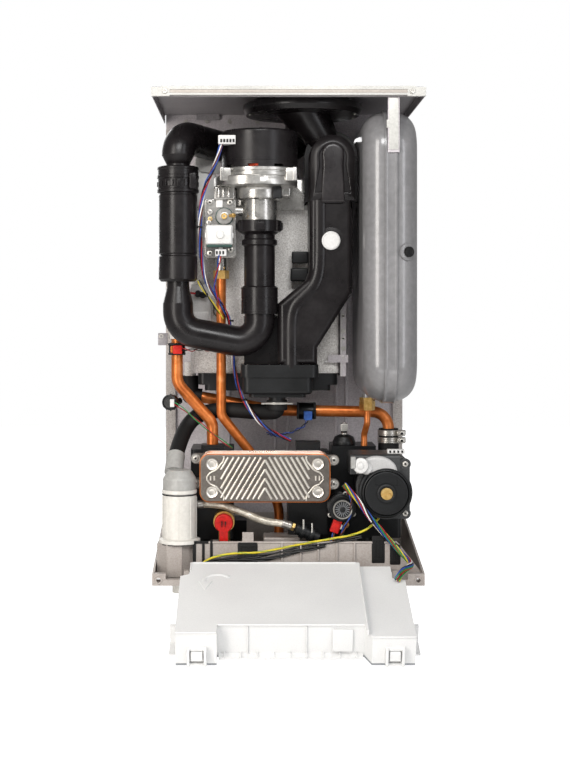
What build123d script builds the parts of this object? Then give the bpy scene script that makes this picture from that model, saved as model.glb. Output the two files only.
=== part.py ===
from build123d import *
import os
from math import cos, radians, sin, tan

# Wall-hung condensing combi boiler with its casing off and its control box hinged down.
# Millimetres. X is across the boiler, Y runs into the wall (the wall is Y = 0), Z is up
# from the underside of the base. All pieces are modelled where they sit in the boiler.

os.makedirs("parts", exist_ok=True)

# ---------------------------------------------------------------- driving dimensions
HALF_WIDTH = 200.0  # half of the 400 mm cabinet width
FRONT = -290.0  # front edge of the frame, where the casing door would close
TOP = 732.0  # top face of the frame
SHEET = 1.2  # folded frame steel
LIP = 15.0  # depth of the top panel's folded lips

AIR_Y = -203.0  # one vertical plane holds fan, air pipes and silencer
FAN_X = -42.0  # axis of fan, venturi and air down pipe
FAN_RADIUS = 58.0
AIR_PIPE = 23.0  # outer radius of the moulded air pipes
AIR_WALL = 2.5
SILENCER_X = -166.5
SILENCER_RADIUS = 29.5

CASING_LOW = (-151.0, -130.0, 305.0)  # primary heat exchanger casing
CASING_HIGH = (84.0, -15.0, 562.0)
COIL_CENTRE = (-33.5, -72.5)

FLUE_FRONT = -215.0
FLUE_BACK = -140.0
FLUE_X = 68.75  # axis of the upper flue duct
PLUG_X = 66.5
FLUE_WALL = 3.0
OUTLET = (25.0, -160.0)  # axis of the concentric flue outlet in the top
OUTLET_RADIUS = 50.0
OUTLET_TOP = 745.0
EXHAUST_RADIUS = 30.0

PIPE_Y = -165.0  # plane of the gas and flow pipes
GAS_X = -101.5
GAS_RADIUS = 7.5  # 15 mm tube
FLOW_X = -170.0
WATER_RADIUS = 9.0
PIPE_WALL = 1.0
RETURN_Y = -110.0
STUB_END = -25.0  # the connections end this far below the base
STUB_Y = -120.0
STUB_SHOULDER = 1.0  # step that ends each connection's plain length
GAS_STUB = (-11.0, -130.0)

VESSEL_X = 152.0  # the vessel's seam stands in this plane
VESSEL_HALF = 41.0  # half of its thickness
VESSEL_LOW = (-285.0, 265.0)  # Y and Z of its corners
VESSEL_HIGH = (-20.0, 705.0)
VESSEL_CORNER = 62.0
VESSEL_WALL = 2.0
VESSEL_PIPE_Y = -136.0

PLATE_LOW = (-131.0, -245.0, 117.0)  # plate heat exchanger
PLATE_HIGH = (63.0, -193.0, 188.0)
PLATE_PORT_X = 79.5  # half the spacing of its ports
PLATE_PORT_Z = 21.0

PUMP = (147.0, 131.0)  # X and Z of the pump's axis
PUMP_FACE = -258.0
DIVERTER = (82.0, 106.0)  # X and Z of the diverter valve's axis
SAFETY = (-96.0, 84.0)  # X and Z of the safety valve's axis
SIPHON = (-162.6, -235.0)  # X and Y of the siphon's axis
SPIGOT_RADIUS = 10.75  # of the condensate outlet, for 21.5 mm pipe

HINGE_Y = -284.4  # axis of the control box's pegs
HINGE_Z = 15.1
OPEN_TILT = 19.0  # the open box slopes down this far towards the viewer
BOX_LOW_X = -157.0
BOX_HIGH_X = 168.0
BOX_TOP = 17.3  # the box's back cover above the hinge axis
BOX_BOTTOM = -31.0
BOX_LENGTH = 183.0
BOX_HEEL = 6.0  # how far the box reaches behind its hinge axis
PEG_RADIUS = 4.0
RUNNING = 0.06  # radial clearance of a turning fit
GAP = 0.4  # air between pieces that must never touch


# ---------------------------------------------------------------- shared ways of making
def block(low, high, mode=Mode.ADD):
    """A box between two opposite corners."""
    size = [b - a for a, b in zip(low, high)]
    middle = tuple((a + b) / 2 for a, b in zip(low, high))
    with Locations(middle):
        Box(*size, mode=mode)


def rounded_block(low, high, corner, mode=Mode.ADD):
    """A box between two corners with its four upright edges rounded."""
    middle = ((low[0] + high[0]) / 2, (low[1] + high[1]) / 2, low[2])
    with BuildSketch(Plane(origin=middle)) as section:
        RectangleRounded(high[0] - low[0], high[1] - low[1], corner)
    extrude(section.sketch, amount=high[2] - low[2], mode=mode)


def rod(start, end, radius, mode=Mode.ADD):
    """A round bar from one point to another."""
    along = Vector(*end) - Vector(*start)
    with BuildSketch(Plane(origin=start, z_dir=along)) as section:
        Circle(radius)
    extrude(section.sketch, amount=along.length, mode=mode)


def bend_radii(route, largest):
    """Each bend is as large as its two runs allow, up to the largest that suits the tube."""
    points = [Vector(*point) for point in route]
    radii = []
    for before, corner, after in zip(points, points[1:], points[2:]):
        arriving = corner - before
        leaving = after - corner
        half_turn = radians(arriving.get_angle(leaving) / 2)
        radii.append(min(largest, 0.45 * min(arriving.length, leaving.length) / tan(half_turn)))
    return radii


def pipe(route, bends, radius, bore=0.0, mode=Mode.ADD):
    """A round tube along straight runs joined by tangent bends of the given radii."""
    with BuildLine() as centre_line:
        FilletPolyline(*route, radius=bends)
    start = Plane(origin=centre_line.line @ 0, z_dir=centre_line.line % 0)
    with BuildSketch(start) as section:
        Circle(radius)
        if bore:
            Circle(bore, mode=Mode.SUBTRACT)
    sweep(section.sketch, path=centre_line.line, mode=mode)


def turned(outline, centre, mode=Mode.ADD):
    """A turned body about a vertical axis, from a closed outline of radius and height."""
    x, y = centre
    with BuildSketch(Plane(origin=(x, y, 0), x_dir=(1, 0, 0), z_dir=(0, -1, 0))) as section:
        with BuildLine():
            Polyline(*outline, close=True)
        make_face()
    revolve(section.sketch, axis=Axis((x, y, 0), (0, 0, 1)), mode=mode)


def save(builder, name):
    """Labels a finished piece and writes it."""
    builder.part.label = name
    export_step(builder.part, f"parts/{name}.step")


def fit_to(*others):
    """Cuts the seats that other pieces need out of the piece in hand."""
    for other in others:
        add(other.part, mode=Mode.SUBTRACT)


# ---------------------------------------------------------------- small screws
SCREW_HEAD = 3.6
SCREW_HEIGHT = 2.6
SCREW_SHANK = 1.6
SCREW_LENGTH = 5.0

gas_front = -215.0
rail_front = FRONT - 7.0
plate_ears = ((-139.4, -206.0, 178.0), (-139.4, -206.0, 140.0), (70.0, -232.0, 178.0), (70.0, -232.0, 142.0))
front_screws = [
    (-181.0, rail_front, 724.5),
    (181.0, rail_front, 724.5),
    (-117.5, gas_front, 568.0),
    (-87.0, gas_front, 568.0),
    (-117.5, gas_front, 491.0),
    (-86.0, gas_front, 496.0),
    *plate_ears,
    (176.0, -246.0, 174.0),
    (176.0, -246.0, 100.0),
    (90.0, -136.0, 372.0),
    (90.0, -136.0, 344.0),
    (-164.0, -6.0, 719.0),
    (-129.0, -6.0, 719.0),
    (-91.0, -6.0, 719.0),
    (-45.0, -6.0, 719.0),
]

with BuildPart() as frame_screws:
    for x, y, z in front_screws:
        rod((x, y, z), (x, y - SCREW_HEIGHT, z), SCREW_HEAD)
        rod((x, y + SCREW_LENGTH, z), (x, y, z), SCREW_SHANK)
        rod((x, y - SCREW_HEIGHT, z), (x, y - SCREW_HEIGHT + 1.2, z), 1.5, Mode.SUBTRACT)
save(frame_screws, "frame_screws")

# ---------------------------------------------------------------- frame
PANEL_T = 1.5
STRIP_DEPTH = 8.0
panel_low_z = 67.0
panel_high_z = TOP - SHEET
panel_half = 197.0
rib_places = [-92.0, -15.0, 6.5, 87.0, 103.5]

with BuildPart() as back_plate:
    block((-panel_half, -PANEL_T, panel_low_z), (panel_half, 0, panel_high_z))
    for side in (-1, 1):
        outer, inner = sorted((side * panel_half, side * (panel_half - 16)))
        block((outer, -STRIP_DEPTH, panel_low_z), (inner, -PANEL_T, 706))
    block((-panel_half, -6, 706), (panel_half, -PANEL_T, panel_high_z))
    for x in rib_places:
        with BuildSketch(Plane(origin=(x, -PANEL_T, 84), z_dir=(0, 0, 1))) as rib:
            Circle(3.2)
            with Locations((0, 5)):
                Rectangle(10, 10, mode=Mode.SUBTRACT)
        extrude(rib.sketch, amount=600)
    for x in (-100, 100):
        with BuildSketch(Plane(origin=(x, 0, 690), z_dir=(0, -1, 0), x_dir=(1, 0, 0))) as hanging_slot:
            SlotOverall(20, 8)
        extrude(hanging_slot.sketch, amount=20, both=True, mode=Mode.SUBTRACT)
    fit_to(frame_screws)
save(back_plate, "back_plate")

with BuildPart() as top_panel:
    block((-HALF_WIDTH, FRONT, TOP - SHEET), (HALF_WIDTH, 0, TOP))
    for side in (-1, 1):
        outer, inner = sorted((side * HALF_WIDTH, side * (HALF_WIDTH - SHEET)))
        block((outer, FRONT, TOP - LIP), (inner, 0, TOP))
    block((-HALF_WIDTH, FRONT, TOP - LIP), (HALF_WIDTH, FRONT + SHEET, TOP))
    block((-146, -13.2, 721), (-108, -12, TOP))
    rod((*OUTLET, TOP - 5), (*OUTLET, TOP + 5), OUTLET_RADIUS + 0.8, Mode.SUBTRACT)
save(top_panel, "top_panel")

with BuildPart() as top_front_rail:
    block((-HALF_WIDTH + 14, rail_front, 719), (HALF_WIDTH - 14, FRONT, TOP))
    groove_half = HALF_WIDTH - 14
    block((-groove_half, rail_front - 1, 722), (groove_half, rail_front + 1.6, 727), Mode.SUBTRACT)
    for side in (-1, 1):
        outer, inner = sorted((side * (HALF_WIDTH + 1), side * (HALF_WIDTH - 26)))
        block((outer, rail_front, 717.5), (inner, FRONT, TOP - 1.5))
    fit_to(frame_screws)
save(top_front_rail, "top_front_rail")

# ---------------------------------------------------------------- burner and exchanger
with BuildPart() as exchanger_coil:
    straight, bend, tube = 110.0, 34.0, 8.0
    ring_count, pitch, first = 8, 24.0, 345.0
    cx, cy = COIL_CENTRE
    for turn in range(ring_count):
        level = first + turn * pitch
        with BuildLine(Plane(origin=(cx, cy, level))) as ring:
            Line((-straight / 2, -bend), (straight / 2, -bend))
            RadiusArc((straight / 2, -bend), (straight / 2, bend), -bend)
            Line((straight / 2, bend), (-straight / 2, bend))
            RadiusArc((-straight / 2, bend), (-straight / 2, -bend), -bend)
        with BuildSketch(Plane(origin=(cx, cy - bend, level), z_dir=(1, 0, 0))) as tube_section:
            Circle(tube)
        sweep(tube_section.sketch, path=ring.line)
    header_x = cx - straight / 2 - bend - tube
    rod((header_x, cy, first - 12), (header_x, cy, first + (ring_count - 1) * pitch + 12), 7)
save(exchanger_coil, "exchanger_coil")

CASING_WALL = 4.0
flow_port = (FLOW_X, PIPE_Y, 372.0)
FLOW_TOP = 360.0
return_port = (-152.0, RETURN_Y)

with BuildPart() as exchanger_casing:
    block(CASING_LOW, CASING_HIGH)
    fillet(exchanger_casing.edges().filter_by(Axis.Z), radius=10)
    inner_low = (CASING_LOW[0] + CASING_WALL, CASING_LOW[1] + CASING_WALL, CASING_LOW[2] + CASING_WALL)
    inner_high = (CASING_HIGH[0] - CASING_WALL, CASING_HIGH[1] - CASING_WALL, CASING_HIGH[2] + 1)
    rod((-135, -126, flow_port[2]), flow_port, 9)
    rod((FLOW_X, PIPE_Y, FLOW_TOP), (FLOW_X, PIPE_Y, flow_port[2] + 12), 13)
    rod((*return_port, 284), (*return_port, 322), 9)
    block(inner_low, inner_high, Mode.SUBTRACT)
    block((-60, -112, 300), (40, -30, 320), Mode.SUBTRACT)
    rod((FLOW_X, PIPE_Y, FLOW_TOP - 1), (FLOW_X, PIPE_Y, flow_port[2] + 6), 7.5, Mode.SUBTRACT)
save(exchanger_casing, "exchanger_casing")

with BuildPart() as burner:
    burner_top = CASING_HIGH[2]
    rod((*COIL_CENTRE, 450), (*COIL_CENTRE, burner_top), 20)
    rod((*COIL_CENTRE, 452), (*COIL_CENTRE, burner_top + 1), 18.5, Mode.SUBTRACT)
    rod((*COIL_CENTRE, burner_top - 3), (*COIL_CENTRE, burner_top), 28)
    rod((*COIL_CENTRE, burner_top - 4), (*COIL_CENTRE, burner_top + 1), 18.5, Mode.SUBTRACT)
    for level in range(4):
        with Locations((*COIL_CENTRE, 470 + 20 * level)):
            with PolarLocations(0, 8):
                Cylinder(1.5, 60, rotation=(0, 90, 0), mode=Mode.SUBTRACT)
save(burner, "burner")

hood_plate_top = CASING_HIGH[2] + 8
fan_low = 578.0
fan_floor = 591.0
fan_flange_low = 603.0
fan_top = 619.0
spout_low = (-18.0, 580.0)
spout_high = (2.0, 600.0)
FAN = (FAN_X, AIR_Y)

with BuildPart() as burner_hood:
    block((CASING_LOW[0], CASING_LOW[1], CASING_HIGH[2]), (CASING_HIGH[0], CASING_HIGH[1], hood_plate_top))
    fillet(burner_hood.edges().filter_by(Axis.Z), radius=10)
    with BuildSketch(Plane.XY.offset(hood_plate_top)) as dome_foot:
        with Locations((-20, -73)):
            RectangleRounded(150, 96, 30)
    extrude(dome_foot.sketch, amount=42, taper=12)
    with BuildSketch(Plane(origin=(0, -145, 0), x_dir=(1, 0, 0), z_dir=(0, -1, 0))) as spout_front:
        with BuildLine():
            Polyline((-22, 562), (28, 562), (28, 586), (18, 597), (-22, 597), close=True)
        make_face()
    extrude(spout_front.sketch, amount=-85)
    with BuildSketch(Plane.XY.offset(CASING_HIGH[2])) as dome_room:
        with Locations((-20, -73)):
            RectangleRounded(140, 86, 26)
    extrude(dome_room.sketch, amount=44, taper=12, mode=Mode.SUBTRACT)
    block((spout_low[0], -146, spout_low[1] + 2), (spout_high[0], -60, spout_high[1] - 6), Mode.SUBTRACT)
save(burner_hood, "burner_hood")

# The coil, burner and hood leave an air way from the fan down through the casing.

# ---------------------------------------------------------------- fan
shaft_radius = 4.0
impeller_radius = 45.0
blade_count = 14

with BuildPart() as fan_rotor:
    turned(
        [(0, 596), (impeller_radius, 596), (impeller_radius, 598), (12, 598), (9, 608),
         (shaft_radius, 608), (shaft_radius, 626), (24, 628), (24, 648), (shaft_radius, 650),
         (shaft_radius, 656), (0, 656)],
        FAN,
    )
    with Locations((*FAN, 602)):
        with PolarLocations(31, blade_count):
            Box(26, 1.4, 10, rotation=(0, 0, 25))
save(fan_rotor, "fan_rotor")

with BuildPart() as fan_housing:
    turned(
        [(22, fan_low), (36, fan_low), (36, fan_floor), (58, fan_floor), (58, fan_flange_low),
         (60, fan_flange_low), (60, fan_top), (shaft_radius + RUNNING, fan_top),
         (shaft_radius + RUNNING, 613), (49, 613), (49, fan_floor + 3), (22, fan_floor + 3)],
        FAN,
    )
    rod((-51, AIR_Y + 2, fan_floor), (-51, AIR_Y + 2, fan_flange_low + 4), 61)
    block((spout_low[0] - 4, AIR_Y, fan_low), (spout_high[0] + 4, -145, fan_flange_low))
    rod((*FAN, fan_low), (*FAN, fan_floor + 4), 22, Mode.SUBTRACT)
    block((spout_low[0], AIR_Y, 582), (spout_high[0], -144, 594), Mode.SUBTRACT)
    rod((*FAN, fan_floor + 3), (*FAN, 613), 49, Mode.SUBTRACT)
    for x in (-93.0, 5.0):
        with Locations((x, -240, 608)):
            Box(17, 16, 21)
    rod((*FAN, fan_floor + 3), (*FAN, 613), 49, Mode.SUBTRACT)
save(fan_housing, "fan_housing")

with BuildPart() as fan_cover:
    turned(
        [(54.5, fan_top), (FAN_RADIUS, fan_top), (FAN_RADIUS, 673), (FAN_RADIUS - 2.5, 676), (0, 676),
         (0, 672.5), (54.5, 672.5)],
        FAN,
    )
    with Locations((*FAN, fan_top)):
        with PolarLocations(FAN_RADIUS, 9, start_angle=-100):
            Box(12, 16, 8, mode=Mode.SUBTRACT)
    turned([(28, 626), (48, 626), (48, 646), (28, 646)], FAN)
    turned([(36, 646), (54.5, 646), (54.5, 649), (36, 649)], FAN)
save(fan_cover, "fan_cover")

with BuildPart() as venturi:
    turned(
        [(20, 541), (27, 541), (27, 572), (36, 574), (36, fan_low), (21, fan_low), (16, 562), (18, 550)],
        FAN,
    )
    rod((FAN_X - 18, AIR_Y, 556), (-78, AIR_Y, 556), 8)
    rod((FAN_X - 12, AIR_Y, 556), (-79, AIR_Y, 556), 4.5, Mode.SUBTRACT)
    rod((*FAN, 540), (*FAN, 561), 16.5, Mode.SUBTRACT)
    block((-50, AIR_Y - 30, 545), (-43, AIR_Y - 26, 572))
save(venturi, "venturi")

# ---------------------------------------------------------------- gas line
gas_low = (-126.0, gas_front, 484.0)
gas_high = (-78.0, -150.0, 574.0)
nut_low, nut_high = 453.0, 466.0

with BuildPart() as brass_nuts:
    for x, y, low, high, hole in (
        (GAS_X, PIPE_Y, nut_low, nut_high, GAS_RADIUS),
        (128.0, VESSEL_PIPE_Y, 247.0, 267.0, 5.0),
    ):
        with BuildSketch(Plane(origin=(x, y, low), z_dir=(0, 0, 1))) as hexagon:
            RegularPolygon(radius=12.2, side_count=6)
            Circle(hole, mode=Mode.SUBTRACT)
        extrude(hexagon.sketch, amount=high - low)
save(brass_nuts, "brass_nuts")

with BuildPart() as gas_solenoid:
    block((-123, gas_front - 13, 503), (-83, gas_front, 533))
    fillet(gas_solenoid.edges().filter_by(Axis.Y), radius=3)
    rod((-101.5, gas_front - 13, 518), (-101.5, gas_front - 16, 518), 5.7)
    block((-109, gas_front - 10, 486), (-93, gas_front, 495.5))
    block((-104, gas_front - 4, 495), (-98, gas_front, 504))
save(gas_solenoid, "gas_solenoid")

with BuildPart() as gas_valve:
    block(gas_low, gas_high)
    chamfer(gas_valve.edges().filter_by(Axis.Y), length=3)
    fillet(gas_valve.faces().sort_by(Axis.Y)[0].edges(), radius=1.5)
    rod((-95.5, gas_front, 546.5), (-95.5, gas_front - 8, 546.5), 12)
    rod((-95.5, gas_front - 8, 546.5), (-95.5, gas_front - 11, 546.5), 4.2)
    for x, z, r in ((-117.6, 553.5, 4.2), (-117, 543, 3.4), (-119, 537.6, 3.8)):
        rod((x, gas_front, z), (x, gas_front - 3.2, z), r)
    rod((GAS_X, PIPE_Y, nut_high), (GAS_X, PIPE_Y, 485), 9.5)
    rod((GAS_X, PIPE_Y, nut_high - 1), (GAS_X, PIPE_Y, 540), 6.5, Mode.SUBTRACT)
    rod((-103, AIR_Y, 556), (-77, AIR_Y, 556), 4.5, Mode.SUBTRACT)
    fit_to(frame_screws)
save(gas_valve, "gas_valve")

gas_route = [
    (GAS_X, PIPE_Y, nut_high),
    (GAS_X, PIPE_Y, 241),
    (-45, -150, 168),
    (GAS_STUB[0], GAS_STUB[1], 95),
    (GAS_STUB[0], GAS_STUB[1], STUB_END),
]
with BuildPart() as gas_pipe:
    pipe(gas_route, [20, 60, 60], GAS_RADIUS, GAS_RADIUS - PIPE_WALL)
    rod((*GAS_STUB, -STUB_SHOULDER), (*GAS_STUB, 30), GAS_RADIUS + STUB_SHOULDER)
    rod((*GAS_STUB, STUB_END), (*GAS_STUB, 31), GAS_RADIUS - PIPE_WALL, Mode.SUBTRACT)
save(gas_pipe, "gas_pipe")

with BuildPart() as ignition_unit:
    block((-150, -142, 390), (-118, -130, 441))
    fillet(ignition_unit.edges().filter_by(Axis.Y), radius=3)
    rod((-131, -142, 428), (-131, -152, 428), 5)
    rod((-131, -152, 428), (-124, -156, 428), 3.5)
save(ignition_unit, "ignition_unit")

# ---------------------------------------------------------------- air intake
AIR_BORE = AIR_PIPE - AIR_WALL

with BuildPart() as air_downpipe:
    turned(
        [(AIR_BORE, 399), (28, 399), (28, 438), (25.5, 441), (23.5, 441), (23.5, 502), (27, 504),
         (27, 511), (23.5, 513), (23.5, 519), (30, 523), (32.5, 524), (32.5, 541), (AIR_BORE, 541)],
        FAN,
    )
    with Locations((*FAN, 532)):
        with PolarLocations(31, 3, start_angle=-30):
            Box(9, 11, 15)
    rod((*FAN, 398), (*FAN, 542), AIR_BORE, Mode.SUBTRACT)
save(air_downpipe, "air_downpipe")

elbow_route = [
    (FAN_X, AIR_Y, 399),
    (FAN_X, AIR_Y, 350),
    (SILENCER_X, AIR_Y, 374),
    (SILENCER_X, AIR_Y, 415),
]
with BuildPart() as lower_air_elbow:
    pipe(elbow_route, [32, 34], AIR_PIPE, AIR_BORE)
    turned(
        [(AIR_BORE, 415), (AIR_PIPE, 415), (17, 440), (17, 448), (14.5, 448), (14.5, 440)],
        (SILENCER_X, AIR_Y),
    )
save(lower_air_elbow, "lower_air_elbow")

with BuildPart() as silencer:
    turned(
        [(15, 448), (26, 448), (SILENCER_RADIUS, 452), (SILENCER_RADIUS, 486), (28, 487.5),
         (28, 489.5), (SILENCER_RADIUS, 491), (SILENCER_RADIUS, 579), (28.5, 580), (28.5, 583),
         (31, 584), (31, 621), (29.5, 623), (17, 623), (17, 618), (26, 614), (26, 456), (15, 452)],
        (SILENCER_X, AIR_Y),
    )
    with Locations((SILENCER_X, AIR_Y, 596)):
        with PolarLocations(30.6, 10):
            Box(2.4, 9, 7)
    rod((SILENCER_X, AIR_Y, 560), (SILENCER_X, AIR_Y, 612), 26, Mode.SUBTRACT)
save(silencer, "silencer")

upper_route = [
    (SILENCER_X, AIR_Y, 641),
    (SILENCER_X, AIR_Y, 671),
    (-97, -100, 664),
    (23, -93, 664),
    (23, -93, 707),
]
neck = (-49, -97.2, 664)  # part way along the elbow's level run, where it narrows
with BuildPart() as upper_air_elbow:
    pipe(upper_route[:3] + [neck], [28, 40], 25.0, 22.5)
    pipe([neck] + upper_route[3:], [26], 23.5, 20.0)
    turned(
        [(22.5, 641), (25, 641), (18, 627), (18, 623), (15.5, 623), (15.5, 628)],
        (SILENCER_X, AIR_Y),
    )
save(upper_air_elbow, "upper_air_elbow")

# ---------------------------------------------------------------- flue
with BuildPart() as flue_adapter:
    turned(
        [(0, 707), (88, 707), (92, 714), (92, 722), (90, 724), (78, 724), (76, TOP - SHEET),
         (OUTLET_RADIUS - 1.2, TOP - SHEET), (OUTLET_RADIUS - 1.2, TOP + 1), (OUTLET_RADIUS, TOP + 1),
         (OUTLET_RADIUS, OUTLET_TOP), (OUTLET_RADIUS - 2.5, OUTLET_TOP), (OUTLET_RADIUS - 2.5, 728),
         (74, 728), (75, 721), (89, 721), (89, 715), (86, 710), (0, 710)],
        OUTLET,
    )
    with BuildSketch(Plane(origin=(27, OUTLET[1], 707))) as cone_top:
        Circle(42)
    with BuildSketch(Plane(origin=(66, OUTLET[1], 650))) as cone_foot:
        Circle(26)
    loft([cone_foot.sketch, cone_top.sketch])
    rod((*OUTLET, 706), (*OUTLET, OUTLET_TOP), EXHAUST_RADIUS)
    with BuildSketch(Plane(origin=(27, OUTLET[1], 705))) as room_top:
        Circle(33)
    with BuildSketch(Plane(origin=(66, OUTLET[1], 650))) as room_foot:
        Circle(23)
    loft([room_foot.sketch, room_top.sketch], mode=Mode.SUBTRACT)
    rod((*OUTLET, 704), (*OUTLET, OUTLET_TOP + 1), EXHAUST_RADIUS - 2, Mode.SUBTRACT)
    rod((23, -93, 706), (23, -93, 711), 18.5, Mode.SUBTRACT)
save(flue_adapter, "flue_adapter")

PLUG_Z = 510.0
with BuildPart() as flue_test_plug:
    rod((PLUG_X, FLUE_FRONT, PLUG_Z), (PLUG_X, FLUE_FRONT - 4, PLUG_Z), 14)
    fillet(flue_test_plug.faces().sort_by(Axis.Y)[0].edges(), radius=1.5)
    rod((PLUG_X, FLUE_FRONT + 6, PLUG_Z), (PLUG_X, FLUE_FRONT, PLUG_Z), 9)
save(flue_test_plug, "flue_test_plug")

flue_front_plane = Plane(origin=(0, FLUE_FRONT, 0), x_dir=(1, 0, 0), z_dir=(0, -1, 0))


def flue_outline(inset):
    """The duct's front outline in X and Z, drawn in by inset."""
    with BuildSketch(flue_front_plane) as outline:
        with BuildLine():
            Polyline(
                (34, 637), (34, 455), (-14, 414), (-14, 321), (46, 321), (46, 347), (99, 431), (99, 603),
                (103.5, 620), (103.5, 637),
            )
            RadiusArc((34, 637), (103.5, 637), 34.75)
        make_face()
        if inset:
            offset(amount=-inset, kind=Kind.INTERSECTION)
    return outline.sketch


def arched(half_width, foot, top=641):
    """A round-topped outline on the duct's front plane."""
    with BuildSketch(flue_front_plane) as outline:
        with BuildLine():
            Polyline(
                (FLUE_X - half_width, top), (FLUE_X - half_width, foot),
                (FLUE_X + half_width, foot), (FLUE_X + half_width, top),
            )
            RadiusArc((FLUE_X - half_width, top), (FLUE_X + half_width, top), half_width)
        make_face()
    return outline.sketch


with BuildPart() as flue_duct:
    extrude(flue_outline(0), amount=-(FLUE_BACK - FLUE_FRONT))
    fillet(flue_duct.faces().sort_by(Axis.Y)[0].edges(), radius=9)
    block((-66, -177, 321), (0, FLUE_BACK, 395))
    inner_depth = FLUE_BACK - FLUE_FRONT - 2 * FLUE_WALL
    inside = Location((0, FLUE_WALL, 0))
    extrude(flue_outline(FLUE_WALL).moved(inside), amount=-inner_depth, mode=Mode.SUBTRACT)
    block((-63, -174, 318), (2, FLUE_BACK - FLUE_WALL, 392), Mode.SUBTRACT)
    block((-11, FLUE_FRONT + 5, 318), (43, FLUE_BACK - FLUE_WALL, 330), Mode.SUBTRACT)
    extrude(arched(41, 572).moved(Location((0, 43, 0))), amount=4)
    extrude(arched(30, 560, 637).moved(inside), amount=-inner_depth, mode=Mode.SUBTRACT)
    extrude(arched(16, 566, 644), amount=4, taper=20)
    block((9, -156, 478), (36, FLUE_BACK, 495.5))
    block((7, -156, 450.5), (36, FLUE_BACK, 469.5))
    rod((PLUG_X, FLUE_FRONT + 1, PLUG_Z), (PLUG_X, FLUE_FRONT, PLUG_Z), 20)
    fit_to(flue_adapter, flue_test_plug)
save(flue_duct, "flue_duct")

SPOUT = (-15.0, -185.0)
SPOUT_RADIUS = 13.0
with BuildPart() as condensate_sump:
    rounded_block((-71, -217, 302), (48, -136, 321), 12)
    rounded_block((-68, -214, 276), (39, -139, 302), 10)
    fillet(condensate_sump.faces().sort_by(Axis.Z)[0].edges(), radius=5)
    rounded_block((-58, -204, 271), (29, -149, 276), 8)
    rounded_block((-139, -141, 287), (81, -20, 305), 10)
    rounded_block((-128, -141, 278), (70, -30, 287), 8)
    block((-64, -210, 281), (35, -144, 322), Mode.SUBTRACT)
    block((-62, -150, 283), (38, -28, 322), Mode.SUBTRACT)
    block((-80, FLUE_BACK, 305), (60, -130, 322), Mode.SUBTRACT)
    rod((*SPOUT, 252), (*SPOUT, 281), SPOUT_RADIUS)
    rod((*SPOUT, 251), (*SPOUT, 282), 8, Mode.SUBTRACT)
    fit_to(exchanger_casing)
save(condensate_sump, "condensate_sump")

HOSE_RADIUS = 12.0
SPOUT_ELBOW = 14.5  # bend radius of the moulded elbow under the spout
condensate_route = [
    (SPOUT[0], SPOUT[1], 267),
    (SPOUT[0], SPOUT[1], 247),
    (-48, -161, 246),
    (-100, -141, 249),
    (-142, -141, 240),
    (-163, -160, 212),
    (-170, -196, 182),
]
hose_bends = [SPOUT_ELBOW] + bend_radii(condensate_route[1:], 80)
with BuildPart() as condensate_hose:
    pipe(condensate_route, hose_bends, HOSE_RADIUS)
    rod((*SPOUT, 250), (*SPOUT, 266), SPOUT_RADIUS + 3)
    pipe(condensate_route, hose_bends, HOSE_RADIUS - 3, mode=Mode.SUBTRACT)
    rod((*SPOUT, 252), (*SPOUT, 268), SPOUT_RADIUS, Mode.SUBTRACT)
save(condensate_hose, "condensate_hose")
print("condensate hose bends", [round(r) for r in hose_bends])

# ---------------------------------------------------------------- siphon
with BuildPart() as siphon_cap:
    turned(
        [(0, 120), (22, 120), (22, 128), (25, 128), (25, 150), (24, 153), (17, 164), (0, 164)],
        SIPHON,
    )
    rod((-170, -196, 182), (-172.5, -219, 158), 14)
    turned([(0, 119), (19.5, 119), (19.5, 150), (14, 160), (0, 160)], SIPHON, Mode.SUBTRACT)
    rod((-169.9, -195, 183), (-172, -220, 155), 9, Mode.SUBTRACT)
    fit_to(condensate_hose)
save(siphon_cap, "siphon_cap")

with BuildPart() as siphon_cup:
    turned(
        [(0, 55), (31, 55), (31, 60), (25.5, 62), (25.5, 127), (22.4, 127), (22.4, 60), (0, 60)],
        SIPHON,
    )
    rod((*SIPHON, -20), (*SIPHON, 56), SPIGOT_RADIUS)
    rod((*SIPHON, -STUB_SHOULDER), (*SIPHON, 56), SPIGOT_RADIUS + STUB_SHOULDER)
    rod((*SIPHON, -21), (*SIPHON, 61), SPIGOT_RADIUS - 2.25, Mode.SUBTRACT)
save(siphon_cup, "siphon_cup")

# ---------------------------------------------------------------- water pipes
flow_route = [
    (FLOW_X, PIPE_Y, FLOW_TOP),
    (FLOW_X, PIPE_Y, 291),
    (-115, PIPE_Y, 230),
    (-115, PIPE_Y, 196),
]
with BuildPart() as flow_pipe:
    pipe(flow_route, [28, 26], WATER_RADIUS, WATER_RADIUS - PIPE_WALL)
save(flow_pipe, "flow_pipe")

return_route = [
    (-134, RETURN_Y, 266),
    (-20, RETURN_Y, 245),
    (164, RETURN_Y, 242),
    (164, RETURN_Y, 190),
]
with BuildPart() as return_pipe:
    pipe(return_route, [80, 26], WATER_RADIUS, WATER_RADIUS - PIPE_WALL)
save(return_pipe, "return_pipe")

with BuildPart() as hose_clamps:
    for low in (193.5, 205.0):
        rod((164, RETURN_Y, low), (164, RETURN_Y, low + 9), 17)
        block((179, RETURN_Y - 6, low + 1), (191, RETURN_Y + 6, low + 8))
        rod((164, RETURN_Y, low - 1), (164, RETURN_Y, low + 10), 15.5, Mode.SUBTRACT)
    rod((SPOUT[0], SPOUT[1], 260), (SPOUT[0], SPOUT[1], 263), 18.5)
    block((SPOUT[0] - 24, SPOUT[1] - 20, 260.5), (SPOUT[0] + 24, SPOUT[1] - 16, 262.5))
    rod((SPOUT[0], SPOUT[1], 258), (SPOUT[0], SPOUT[1], 268), 16, Mode.SUBTRACT)
save(hose_clamps, "hose_clamps")

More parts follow.
